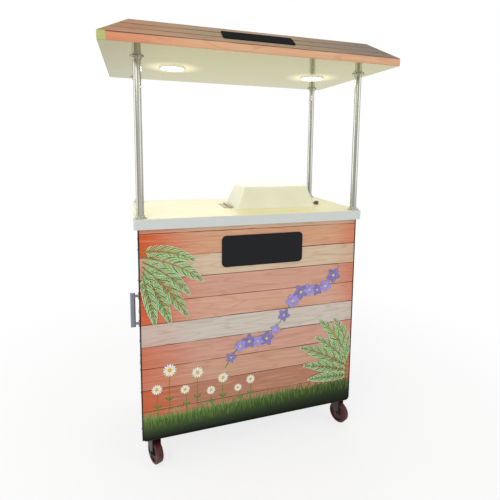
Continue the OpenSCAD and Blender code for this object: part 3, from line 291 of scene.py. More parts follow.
def brushed(name, colour, along, rough, metal=1.0):
    """Brushed or turned metal with its lines drawn out along the given axes."""
    finish = Finish(name)
    line = finish.noise(1.6, along, 4.0)
    smear = finish.noise(90, (1, 1, 1.6), 5.0)
    spot = finish.step(finish.noise(12, detail=6.0), 0.66, 0.72)
    tone = finish.shades(line, colour, 0.8, 1.12)
    tone = finish.mix(spot * 0.25, tone, shade(colour, 0.55))
    return finish.coat(tone, line * 0.16 + smear * 0.2 + (rough - 0.16), metal).relief(line, 0.05, 0.6)


def cast_paint(name, colour):
    """Machine paint over a casting: grainy relief, chips and oil film."""
    finish = Finish(name)
    grain = finish.noise(2.2, detail=6.0)
    chip = finish.step(finish.noise(16, detail=8.0), 0.68, 0.71)
    oil = finish.step(finish.noise(50, (1, 1, 3), 5.0), 0.48, 0.7)
    tone = finish.mix(oil, colour, shade(colour, 0.55))
    tone = finish.mix(chip, tone, srgb(70, 68, 66))
    return finish.coat(tone, 0.5 - oil * 0.22 + grain * 0.1, chip * 0.7).relief(grain, 0.35)


def moulded(name, colour, rough=0.45, grain_size=1.2, gloss=0.5):
    """Moulded plastic: fine grain, faint flow lines and handling marks."""
    finish = Finish(name, gloss)
    grain = finish.noise(grain_size)
    flow = finish.noise(50, (1, 1, 5), 4.0)
    scuff = finish.step(finish.noise(6, (7, 1, 1), 5.0), 0.66, 0.74)
    tone = finish.shades(flow, colour, 0.85, 1.12)
    tone = finish.mix(scuff * 0.3, tone, shade(colour, 1.9))
    return finish.coat(tone, grain * 0.14 + scuff * 0.15 + (rough - 0.07)).relief(grain, 0.12, 0.7)


def printed_ink(name, dark, light, size=20):
    """Printed film with streaks of a size in millimetres between two tones."""
    finish = Finish(name, FILM_GLOSS)
    streak = finish.noise(size, detail=4.0)
    fine = finish.noise(2, detail=2.0)
    return finish.coat(finish.ramp(streak, [(0.3, dark), (0.7, light)]), fine * 0.15 + 0.3)


def wood_rows(finish, row, width, planks, ends):
    """Printed planks: tone and share of burnt colour at their ends by row, with grain and dark seams."""
    seam_width = settings("print").seam
    last = len(planks)
    row = row + (finish.noise(50, (7, 1, 1)) - 0.5) * 0.07
    tones = [(i / last, srgb(*chart)) for i, (chart, _) in enumerate(planks)]
    burns = [(i / last, (share, share, share, 1)) for i, (_, share) in enumerate(planks)]
    tone = finish.ramp(row / last, tones, "CONSTANT")
    burn = finish.ramp(row / last, burns, "CONSTANT") * ends
    tone = finish.mix(burn, tone, srgb(204, 82, 30))
    grain = finish.noise(5, (30, 1, 1), 5.0)
    figure = (finish.noise(60, (7, 1, 1), 2.0) * 46).by("SINE")
    tone = finish.mix(finish.step(figure, 0.4, 1.0) * 0.16, tone, srgb(150, 92, 62))
    tone = finish.mix(finish.step(grain, 0.5, 0.8) * 0.3, tone, srgb(168, 104, 72))
    tone = finish.mix(finish.step(grain, 0.5, 0.2) * 0.25, tone, srgb(240, 214, 190))
    inside = row.by("FRACT")
    edge = inside.by("MINIMUM", 1 - inside) * width
    broken = finish.step(finish.noise(50, (4, 1, 1), 4.0), 0.3, 0.6)
    seam = (1 - finish.step(edge, seam_width * 0.3, seam_width)) * (broken * 0.6 + 0.4)
    return finish.mix(seam, tone, srgb(92, 46, 34)), grain, seam


@cache
def screw_steel():
    return brushed("screw_steel", srgb(168, 168, 166), EVEN, rough=0.34)


@cache
def sheet_steel():
    return brushed("sheet_steel", settings("paint").steel, (40, 1, 1), rough=0.36)


@cache
def black_plastic():
    return moulded("black_plastic", srgb(16, 16, 17), rough=0.5, gloss=0.25)


def dress(finish, *names, edge=0.0):
    """Gives CAD nodes a finish, and rounds their sharp edges by a width in millimetres."""
    for name in names:
        node = frame["nodes"][name]
        node.data.materials.clear()
        node.data.materials.append(finish.material)
        if edge:
            soften(node, edge * MM)


def soften(node, width):
    """Rounds the sharp edges of a CAD node with modifiers."""
    weld = node.modifiers.new("weld", "WELD")
    weld.merge_threshold = 0.01 * MM
    bevel = node.modifiers.new("round", "BEVEL")
    bevel.width = width
    bevel.segments = 2
    bevel.limit_method = "ANGLE"
    bevel.angle_limit = radians(50)
    bevel.harden_normals = True
    node.modifiers.new("flats", "WEIGHTED_NORMAL").keep_sharp = True


def new_piece(name, made, finishes, body=CART):
    """Object from a bmesh, in the finishes of its faces' slots, riding on a body."""
    mesh = bpy.data.meshes.new(name)
    made.to_mesh(mesh)
    made.free()
    for finish in finishes:
        mesh.materials.append(finish.material)
    piece = bpy.data.objects.new(name, mesh)
    bpy.context.scene.collection.objects.link(piece)
    if body:
        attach(piece, body)
    return piece


def polar(heading, reach):
    """Flat vector of a heading and a reach."""
    return Vector((cos(heading), sin(heading))) * reach


def lathe(made, profile, centre, direction, sides=20):
    """Closed turned form from a profile of (radius, height) points that starts and ends on the axis."""
    turn = Vector(direction).to_track_quat("Z", "Y").to_matrix()
    rings = []
    for radius, height in profile:
        count = sides if radius else 1
        points = [polar(CIRCLE * i / count, radius).to_3d() + Vector((0, 0, height)) for i in range(count)]
        rings.append([made.verts.new(centre + turn @ point) for point in points])
    for low, high in zip(rings, rings[1:]):
        for i in range(sides):
            j = (i + 1) % sides
            corners = [low[i % len(low)], low[j % len(low)], high[j % len(high)], high[i % len(high)]]
            made.faces.new(list(dict.fromkeys(corners))).smooth = True


def screws(name, spots, radius, body=CART):
    """One piece of pan heads of a radius in millimetres with round sockets, at (place, direction) spots."""
    radius *= MM
    rise = 0.62 * radius
    profile = [
        (0, 0), (radius, 0), (radius, 0.35 * rise), (0.86 * radius, 0.75 * rise), (0.62 * radius, rise),
        (0.42 * radius, rise), (0.38 * radius, 0.5 * rise), (0, 0.5 * rise),
    ]
    made = bmesh.new()
    for place, direction in spots:
        lathe(made, profile, place, direction)
    bmesh.ops.recalc_face_normals(made, faces=made.faces)
    return new_piece(name, made, [screw_steel()], body)


def places(direction, xs, ys, zs):
    """Spots at all combinations of the coordinates, facing one direction."""
    return [(Vector(place), direction) for place in product(xs, ys, zs)]


def within(low, high, inset):
    """Two coordinates, set in from the ends of a span."""
    return low + inset, high - inset


def spread(first, last, count):
    """Evenly spaced coordinates from first to last."""
    return [first + (last - first) * i / (count - 1) for i in range(count)]


class PanelFace:
    """The cabinet's front: u runs to the right from its middle, v is the height above the floor."""

    def __init__(self):
        low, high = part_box("front_panel")
        self.right = (high.x - low.x) / 2
        self.left = -self.right
        self.base = low.z
        self.top = high.z
        self.middle = (low.x + high.x) / 2
        self.front = low.y

    def point(self, u, v, lift):
        return Vector((self.middle + u, self.front - lift, v))

    def plate(self, made, outline, layer, slot=0):
        """Thin closed film with an outline of (u, v) points, so many layers of ink above the face."""
        ink = settings("print").ink
        fronts, backs = [
            [made.verts.new(self.point(u, v, ink * level)) for u, v in outline]
            for level in (layer + 1, layer)
        ]
        faces = [made.faces.new(fronts), made.faces.new(backs[::-1])]
        for i in range(len(outline)):
            faces.append(made.faces.new([fronts[i], fronts[i - 1], backs[i - 1], backs[i]]))
        for face in faces:
            face.material_index = slot

    def loop(self, inset):
        """Points down the left end, along the foot and up the right end, set in from the panel's edge."""
        corner = settings("print").trim_corner
        steps = 6
        points = [(self.left + inset, self.top)]
        for u, start in ((self.left + corner, pi), (self.right - corner, 1.5 * pi)):
            for i in range(steps + 1):
                around = polar(start + pi / 2 * i / steps, corner - inset)
                points.append((u + around.x, self.base + corner + around.y))
        return points + [(self.right - inset, self.top)]


def leaf(root, angle, reach, width, bend=0.0, steps=5):
    """Outline of a pointed leaf from its root, bending by an angle over its length."""
    left, right = [], []
    spot = Vector(root)
    for i in range(steps + 1):
        share = i / steps
        heading = angle + bend * share
        half = width / 2 * sin(pi * min(1.0, 0.06 + 0.94 * share)) ** 0.8
        side = polar(heading + pi / 2, half)
        left.append(tuple(spot + side))
        right.append(tuple(spot - side))
        spot = spot + polar(heading, reach / steps)
    return right + left[-2::-1]


def disc(centre, radius, count):
    """Outline of a disc."""
    return [tuple(Vector(centre) + polar(CIRCLE * i / count, radius)) for i in range(count)]


def ribbon(points, width):
    """Outline of a band along points, tapering to its end."""
    left, right = [], []
    for i, spot in enumerate(points):
        ahead = Vector(points[min(i + 1, len(points) - 1)]) - Vector(points[max(i - 1, 0)])
        side = Vector((-ahead.y, ahead.x)).normalized() * width * (1 - 0.7 * i / len(points)) / 2
        left.append(tuple(Vector(spot) + side))
        right.append(tuple(Vector(spot) - side))
    return right + left[::-1]


def lamps():
    """Middles of the undersides of the left and right lamp lens, and their radius."""
    low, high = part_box("lamp_lenses")
    radius = (high.y - low.y) / 2
    return [Vector((x, low.y + radius, low.z)) for x in within(low.x, high.x, radius)], radius


class JUICECART_OT_stage(Operator):
    """Pale floor, white surroundings, soft lights and the camera"""

    bl_idname = "juice_cart.stage"
    bl_label = "Stage"

    # Name, place, size, setting of the power and colour
    LIGHTS = (
        ("key", (-2.4, -3.0, 3.3), 2.6, "key", (1.0, 0.98, 0.95)),
        ("fill", (3.0, -2.6, 2.0), 2.4, "fill", (0.97, 0.98, 1.0)),
        ("back", (0.6, 3.4, 2.8), 2.6, "fill", WHITE[:3]),
        ("side", (-3.4, 0.5, 1.6), 2.0, "fill", WHITE[:3]),
    )
    AIM = (0, 0, 0.9)
    WARM = (1.0, 0.96, 0.86)

    def execute(self, context):
        stage = settings("stage")
        context.scene.view_settings.view_transform = "Standard"
        self.floor()
        self.surroundings(context, stage)
        for name, place, size, power, colour in self.LIGHTS:
            self.light(name, Vector(place), size, getattr(stage, power), colour, Vector(self.AIM))
        lenses, radius = lamps()
        for name, lens in zip(("lamp_left", "lamp_right"), lenses):
            place = lens - Vector((0, 0, 2 * MM))
            self.light(name, place, radius, stage.beam, self.WARM, place + Vector(DOWN))
        self.camera(context, stage)
        return {"FINISHED"}

    def floor(self):
        """Pale floor that takes a faint shadow near the cart and is plain white further out."""
        made = bmesh.new()
        bmesh.ops.create_grid(made, x_segments=8, y_segments=8, size=14.0)
        finish = Finish("pale_floor")
        away = finish.node("ShaderNodeVectorMath", {0: finish.place}, "Value", operation="LENGTH")
        finish.coat(finish.mix(finish.noise(400), srgb(243, 243, 242), srgb(247, 247, 246)), 0.85)
        glow = finish.node("ShaderNodeEmission", {"Color": WHITE, "Strength": 1.0})
        rays = self.seen_rays(finish) * (finish.step(away, 0.9, 2.4) * 0.25 + 0.75)
        layers = {0: rays, 1: Wire(finish, finish.shader.outputs[0]), 2: glow}
        surface = finish.node("ShaderNodeMixShader", layers)
        finish.feed(finish.tree.nodes["Material Output"].inputs["Surface"], surface)
        new_piece("floor", made, [finish], None)

    @staticmethod
    def seen_rays(finish):
        """1 for camera, glossy and transmission rays."""
        camera, glossy, clear = [
            finish.node("ShaderNodeLightPath", out=f"Is {kind} Ray")
            for kind in ("Camera", "Glossy", "Transmission")
        ]
        return camera.by("MAXIMUM", glossy).by("MAXIMUM", clear)

    def surroundings(self, context, stage):
        """White world that gives less light than what is seen of it."""
        world = bpy.data.worlds.new("white_studio")
        world.use_nodes = True
        context.scene.world = world
        world.node_tree.nodes.clear()
        finish = Finish("white_studio", tree=world.node_tree)
        dim, full = [
            finish.node("ShaderNodeBackground", {"Color": WHITE, "Strength": strength})
            for strength in (stage.ambient, 1.0)
        ]
        both = finish.node("ShaderNodeMixShader", {0: self.seen_rays(finish), 1: dim, 2: full})
        output = world.node_tree.nodes.new("ShaderNodeOutputWorld")
        finish.feed(output.inputs["Surface"], both)

    @staticmethod
    def light(name, place, size, power, colour, aim):
        data = bpy.data.lights.new(name, "AREA")
        data.size = size
        data.energy = power
        data.color = colour
        lamp = bpy.data.objects.new(name, data)
        lamp.location = place
        lamp.rotation_euler = (aim - place).to_track_quat("-Z", "Y").to_euler()
        bpy.context.scene.collection.objects.link(lamp)

    @staticmethod
    def camera(context, stage):
        data = bpy.data.cameras.new("camera")
        data.lens = stage.lens
        data.shift_x = stage.shift_x
        data.shift_y = stage.shift_y
        turn = Matrix.Rotation(-stage.yaw, 3, "Z") @ Matrix.Rotation(pi / 2 - stage.pitch, 3, "X")
        turn = turn @ Matrix.Rotation(stage.roll, 3, "Z")
        camera = bpy.data.objects.new("camera", data)
        camera.matrix_world = Matrix.Translation(stage.eye) @ turn.to_4x4()
        context.scene.collection.objects.link(camera)
        context.scene.camera = camera


class JUICECART_OT_cabinet(Operator):
    """Painted frame, side panels, decks, edge trim and their rivets"""

    bl_idname = "juice_cart.cabinet"
    bl_label = "Cabinet"

    def execute(self, context):
        colours = settings("paint")
        black = painted("black_paint", colours.frame_black, rough=0.4, wear=0.12, grime=0.06, gloss=0.3)
        rails = painted("rail_grey", colours.frame_grey, rough=0.45, wear=0.4, grime=0.35)
        decks = painted("deck_grey", srgb(168, 170, 168), rough=0.4, wear=0.2)
        dress(black, "base_frame", "corner_uprights", edge=2)
        dress(black, "side_panels", edge=1)
        dress(rails, "frame_rails", edge=2)
        dress(rails, "roof_frame")
        dress(decks, "deck_sheets", edge=1)
        self.edge_trim()
        self.side_rivets()
        return {"FINISHED"}

    @staticmethod
    def edge_trim():
        """Black moulding round the front panel's ends and foot, with round lower corners."""
        sheet = settings("print")
        trim, rise = sheet.trim, sheet.trim_rise
        face = PanelFace()
        made = bmesh.new()
        rings = [
            [made.verts.new(face.point(u, v, lift)) for u, v in face.loop(inset)]
            for inset, lift in ((0.0, 0.0), (0.0, rise), (trim, rise), (trim, 0.0))
        ]
        for near, far in zip(rings, rings[1:] + rings[:1]):
            for i in range(len(near) - 1):
                made.faces.new([near[i], near[i + 1], far[i + 1], far[i]])
        for end in (0, -1):
            made.faces.new([ring[end] for ring in rings])
        bmesh.ops.recalc_face_normals(made, faces=made.faces)
        new_piece("front_edge_trim", made, [black_plastic()])

    @staticmethod
    def side_rivets():
        low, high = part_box("side_panels")
        inset = 22 * MM
        heights = spread(*within(low.z, high.z, 2 * inset), 6)
        spots = []
        for x, out in ((low.x, -1), (high.x, 1)):
            spots += places((out, 0, 0), [x], within(low.y, high.y, inset), heights)
        screws("side_panel_rivets", spots, radius=5)


class JUICECART_OT_front_print(Operator):
    """Plank print with grass, ferns, blossoms and daisies on the front, and both bare sign plates"""

    bl_idname = "juice_cart.front_print"
    bl_label = "Front print"

    # Tone and share of burnt colour at the ends, by plank from the top
    PLANKS = (
        ((216, 180, 152), 0.5), ((208, 158, 126), 0.95), ((208, 186, 160), 0.38),
        ((204, 156, 136), 1.0), ((208, 162, 140), 0.9), ((202, 194, 184), 0.2),
        ((203, 156, 138), 0.6), ((200, 156, 132), 0.6), ((178, 125, 101), 0.7),
        ((184, 124, 98), 0.7),
    )
    # Tone of the grass by share of its height
    TURF = (
        (0.05, (12, 17, 8)), (0.13, (28, 36, 22)), (0.27, (44, 57, 38)),
        (0.37, (58, 76, 42)), (0.52, (72, 96, 46)), (0.66, (84, 114, 54)),
        (0.82, (118, 146, 84)), (1.0, (142, 166, 106)),
    )
    BLADES = 420
    # Name, side, height of the roots and heading of the first frond, by fan of ferns
    FANS = (("print_ferns_upper", -1, 0.93, 0.1), ("print_ferns_lower", 1, 0.33, 1.5))
    # Least reach of a fan's fronds in millimetres
    FRONDS = (215, 265, 235, 285, 240, 200)
    # Ends of the garland on the front
    VINE = (Vector((-0.14, 0.42)), Vector((0.42, 0.85)))
    # Place on the front in metres and radius in millimetres, by daisy
    DAISIES = (
        (-0.44, 0.37, 25), (-0.385, 0.45, 31), (-0.32, 0.35, 23), (-0.265, 0.42, 28), (-0.205, 0.325, 22),
        (-0.15, 0.375, 26), (-0.08, 0.315, 20), (-0.02, 0.345, 23),
    )

    def execute(self, context):
        colours = settings("paint")
        self.sheet = settings("print")
        self.face = PanelFace()
        self.chance = Random(self.sheet.seed).random
        dress(self.planks(), "front_panel")
        self.blades()
        self.ferns(colours)
        self.garland(colours)
        self.daisies(colours)
        front = moulded("plate_black", colours.plate, rough=0.3, grain_size=4, gloss=0.2)
        roof = moulded("plate_matt", shade(colours.plate, 0.7), rough=0.6, grain_size=4, gloss=0.03)
        dress(front, "front_sign_plate", edge=0.8)
        dress(roof, "roof_sign_plate", edge=0.8)
        return {"FINISHED"}

    def planks(self):
        """Planks with grass at their foot, and a plain grey back."""
        sheet, front = self.sheet, self.face.front
        finish = Finish("plank_print", FILM_GLOSS)
        height = finish.axis("Z")
        across = finish.axis("X") - self.face.middle
        row = (sheet.seam_top - height) / sheet.plank + 1
        ends = finish.step(across, -0.2, -0.52) + finish.step(across, 0.36, 0.54) * 0.6
        tone, grain, seam = wood_rows(finish, row, sheet.plank, self.PLANKS, ends)
        edge = finish.noise(11, (1, 1, 3), 4.0) * sheet.blade * 2 + (sheet.grass - 1.4 * sheet.blade)
        edge = edge + across * sheet.grass_slope
        under = 1 - finish.step(height - edge, -3 * MM, 3 * MM)
        tone = finish.mix(under, tone, self.turf(finish))
        back = finish.step(finish.axis("Y"), front + 1 * MM, front + 2 * MM)
        tone = finish.mix(back, tone, srgb(70, 71, 72))
        return finish.coat(tone, grain * 0.12 + seam * 0.2 + 0.3).relief(grain - seam * 2, 0.1, 0.4)

    def turf(self, finish):
        """Tone of the grass, from black at the foot to pale green at its tips."""
        sheet = self.sheet
        across = finish.axis("X") - self.face.middle
        rise = finish.axis("Z") - across * sheet.grass_slope - self.face.base
        stops = [(share, srgb(*chart)) for share, chart in self.TURF]
        tone = finish.ramp(rise / (sheet.grass + sheet.blade / 2 - self.face.base), stops)
        return finish.mix(finish.step(across, -0.4, 0.55) * 0.6, tone, srgb(14, 26, 5))

    def blade_ink(self, name, target, share):
        """Film of the turf's tone, drawn towards another tone by a share."""
        finish = Finish(name, FILM_GLOSS)
        streak = finish.noise(20, (0.3, 1, 1))
        return finish.coat(finish.mix(streak * share, self.turf(finish), target), streak * 0.2 + 0.3)

    def stalk_ink(self, colours):
        """Green film that fades into the turf's tone at the foot."""
        grass, blade = self.sheet.grass, self.sheet.blade
        finish = Finish("stalk_green", FILM_GLOSS)
        streak = finish.noise(20, detail=4.0)
        tone = finish.shades(streak, colours.leaf, 0.45, 0.8)
        out = finish.step(finish.axis("Z"), grass - blade, grass + 0.4 * blade)
        return finish.coat(finish.mix(out, self.turf(finish), tone), streak * 0.2 + 0.3)

    def blades(self):
        """Loose blades over the edge of the printed turf."""
        sheet = self.sheet
        made = bmesh.new()
        left, right = within(self.face.left, self.face.right, 1.5 * sheet.trim)
        for i in range(self.BLADES):
            u = left + (i + self.chance()) / self.BLADES * (right - left)
            base = sheet.grass + u * sheet.grass_slope - sheet.blade * (1.2 + 0.9 * self.chance())
            reach = sheet.blade * (1.1 + 1.3 * self.chance())
            angle = pi / 2 + 0.5 * (self.chance() - 0.5)
            bend = 0.9 * (self.chance() - 0.5)
            shape = leaf((u, base), angle, reach, sheet.blade_width, bend, 4)
            # Blades that overlap lie in different layers
            self.face.plate(made, shape, 1 + 3 * (i * 37 % 101) / 101, i % 2)
        inks = [
            self.blade_ink("blade_dark", srgb(34, 58, 20), 0.6),
            self.blade_ink("blade_light", srgb(150, 178, 104), 0.4),
        ]
        new_piece("print_grass", made, inks)

    def frond(self, made, root, angle, reach, bend, layer):
        """Fern frond: a midrib with paired leaflets over a pale halo."""
        stations, halo = 13, 2 * MM
        spot = Vector(root)
        rib = [tuple(spot)]
        for i in range(stations):
            share = (i + 1) / stations
            heading = angle + bend * share
            spot = spot + polar(heading, reach / stations)
            rib.append(tuple(spot))
            size = reach * 0.2 * sin(pi * (0.16 + 0.78 * share)) + 4 * MM
            for side in SIDES:
                lean = heading + side * (1.0 - 0.45 * share)
                above = layer + 0.1 * (i + 0.5 * (side > 0))
                for slot, grow, lift in ((0, halo, 0), (1 + (i + side) % 2, 0.0, 1.5)):
                    width = size * 0.1 + 2.5 * MM + 1.4 * grow
                    shape = leaf(spot, lean, size + grow, width, -0.7 * side, 4)
                    self.face.plate(made, self.hold(shape), above + lift, slot)
        self.face.plate(made, self.hold(ribbon(rib, self.sheet.rib)), layer + 4, 1)

    def hold(self, outline):
        """Keeps an outline inside the edge trim."""
        limit = self.face.right - self.sheet.trim
        return [(max(-limit, min(limit, u)), v) for u, v in outline]

    def ferns(self, colours):
        """A fan of fronds that hangs from the upper left corner, and one that grows from the lower right."""
        inks = [
            printed_ink("halo_pale", srgb(214, 220, 202), srgb(236, 238, 226)),
            printed_ink("fern_dark", shade(colours.leaf, 0.5), shade(colours.leaf, 0.85), 14),
            printed_ink("fern_light", shade(colours.leaf, 0.85), shade(colours.leaf, 1.5), 14),
        ]
        inset, gap = 14 * MM, 20 * MM
        middle = (len(self.FRONDS) - 1) / 2
        for name, side, height, start in self.FANS:
            made = bmesh.new()
            for i, reach in enumerate(self.FRONDS):
                root = (side * (self.face.right - inset), height + (middle - i) * gap)
                heading = start - 0.28 * i
                angle = heading if side < 0 else pi - heading
                reach += 20 * self.chance()
                bend = side * (0.6 - 0.1 * i)
                self.frond(made, root, angle, reach * MM, bend, 4 + 6 * i)
            new_piece(name, made, inks)

    def garland(self, colours):
        """A vine of five-petalled blossoms that runs slantwise over the planks."""
        made = bmesh.new()
        # Layers of ink, and those that every other blossom lies higher
        stem, leaves, petals, eye, above = 4, 6, 8, 15.5, 8
        count = 5
        start, end = self.VINE
        spots = []
        for share in spread(0, 1, 41):
            wave = Vector((0, 0.04 * sin(2 * CIRCLE * share)))
            spots.append(tuple(start.lerp(end, share) + wave))
        self.face.plate(made, ribbon(spots, self.sheet.rib), stem)
        for i, spot in enumerate(spots[2:-1:3]):
            pale = i % 2
            angle = self.chance() * CIRCLE
            for side in SIDES:
                shape = leaf(spot, angle + side * 1.2, 30 * MM, 12 * MM, 0.3 * side)
                self.face.plate(made, shape, leaves + 0.1 * (i + 0.5 * (side > 0)))
            size = (17 + 10 * self.chance()) * MM
            for petal in range(count):
                shape = leaf(spot, angle + petal * CIRCLE / count, size * 1.5, size, steps=6)
                self.face.plate(made, shape, petals + above * pale + 1.5 * petal, 1 + pale)
            self.face.plate(made, disc(spot, size * 0.24, 14), eye + above * pale, 3)
        inks = [
            printed_ink("vine_green", shade(colours.leaf, 0.5), shade(colours.leaf, 0.9)),
            printed_ink("petal_violet", shade(colours.violet, 0.75), shade(colours.violet, 1.2), 8),
            printed_ink("petal_pale", shade(colours.violet, 1.1), shade(colours.violet, 1.7), 8),
            printed_ink("pollen_yellow", srgb(214, 182, 70), srgb(240, 214, 110), 4),
        ]
        new_piece("print_garland", made, inks)

    def daisies(self, colours):
        """Daisies on thin stalks that stand in the grass."""
        sheet = self.sheet
        made = bmesh.new()
        # Layers of ink
        stem, leaves, petals, eye = 5, 6, 8, 12
        count = 14
        for u, v, radius in self.DAISIES:
            radius *= MM
            head = Vector((u, v))
            foot = Vector((u + 0.02 * (self.chance() - 0.5), sheet.grass - sheet.blade))
            bow = 0.014 * (self.chance() - 0.5)
            stalk = []
            for share in spread(0, 1, 9):
                stalk.append(tuple(foot.lerp(head, share) + Vector((bow * sin(pi * share), 0))))
            self.face.plate(made, ribbon(stalk, sheet.stalk), stem)
            for side in SIDES:
                shape = leaf(stalk[3], pi / 2 - 0.9 * side, 26 * MM, 8 * MM, 0.5 * side)
                self.face.plate(made, shape, leaves + 0.3 * side)
            turn = self.chance()
            for petal in range(count):
                angle = turn + petal * CIRCLE / count
                shape = leaf(head + polar(angle, 0.2 * radius), angle, 0.8 * radius, 0.3 * radius, steps=4)
                self.face.plate(made, shape, petals + petal % 2 * 1.5, 1 + petal % 2)
            self.face.plate(made, disc(head, 0.3 * radius, 16), eye, 3)
        inks = [
            self.stalk_ink(colours),
            printed_ink("daisy_white", srgb(226, 226, 214), srgb(244, 243, 236), 6),
            printed_ink("daisy_cream", srgb(212, 212, 192), srgb(232, 230, 212), 6),
            printed_ink("daisy_yellow", srgb(206, 158, 48), srgb(232, 192, 80), 4),
        ]
        new_piece("print_daisies", made, inks)


class JUICECART_OT_counter(Operator):
    """Counter slab and grab handle"""

    bl_idname = "juice_cart.counter"
    bl_label = "Counter and handle"

    def execute(self, context):
        dress(self.laminate(settings("paint")), "counter_top", edge=3)
        satin = brushed("handle_satin", srgb(150, 150, 162), (1, 1, 30), rough=0.42, metal=0.5)
        dress(satin, "grab_handle")
        low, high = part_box("grab_handle")
        middle = (low.y + high.y) / 2
        aside, foot, plate = 11 * MM, 16 * MM, 4 * MM
        ys = (middle - aside, middle + aside)
        spots = places((-1, 0, 0), [high.x - plate], ys, within(low.z, high.z, foot))
        screws("handle_screws", spots, radius=2.4)
        return {"FINISHED"}

    @staticmethod
    def laminate(colours):
        """Laminate top in a cream that is painted warm lamp light, pale brushed edging round it."""
        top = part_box("counter_top")[1].z
        finish = Finish("counter_laminate")
        fleck = finish.noise(2.5, detail=2.0)
        cloud = finish.noise(200, detail=4.0)
        line = finish.noise(1.8, (50, 50, 1), 4.0)
        mark = finish.step(finish.noise(10, (5, 1, 1), 6.0), 0.66, 0.72)
        # Painted lamp light: the top takes a warm cream for the lamps' light on it, while the edging keeps
        # the sheet's pale grey
        lamp_lit_cream = finish.shades(cloud, colours.counter, 0.95, 1.06)
        lamp_lit_cream = finish.mix(finish.step(fleck, 0.58, 0.7) * 0.25, lamp_lit_cream, shade(colours.counter, 0.8))
        edge = finish.shades(line, colours.edging, 0.92, 1.08)
        face = finish.step(finish.axis("Z"), top - 1.6 * MM, top - 0.6 * MM)
        finish.coat(finish.mix(face, edge, lamp_lit_cream), mark * 0.2 + line * 0.15 + 0.3)
        return finish.relief(line - mark * 0.5, 0.04, 0.5)


class JUICECART_OT_doors(Operator):
    """Rear doors with their hinges and screws"""

    bl_idname = "juice_cart.doors"
    bl_label = "Rear doors"

    # Heights of the hinges as shares of a door's height
    HINGES = (0.14, 0.8)

    def execute(self, context):
        sheet = brushed("door_sheet", settings("paint").steel, (1, 1, 40), rough=0.36)
        dress(sheet, "door_left", "door_right", edge=0.7)
        dress(brushed("hinge_steel", srgb(176, 176, 172), (1, 1, 12), rough=0.3), "door_hinge_pins")
        knuckle, sunk = 30 * MM, 2.8 * MM
        for side, name in zip(SIDES, ("door_left", "door_right")):
            low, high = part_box(name)
            x, y, _ = JOINTS[name + "_hinge"]["pos_m"]
            xs = [x - side * reach for reach in (14 * MM, 24 * MM)]
            zs = [low.z + share * (high.z - low.z) + knuckle for share in self.HINGES]
            screws(name + "_screws", places((0, 1, 0), xs, [y - sunk], zs), radius=2.6, body=name)
        return {"FINISHED"}


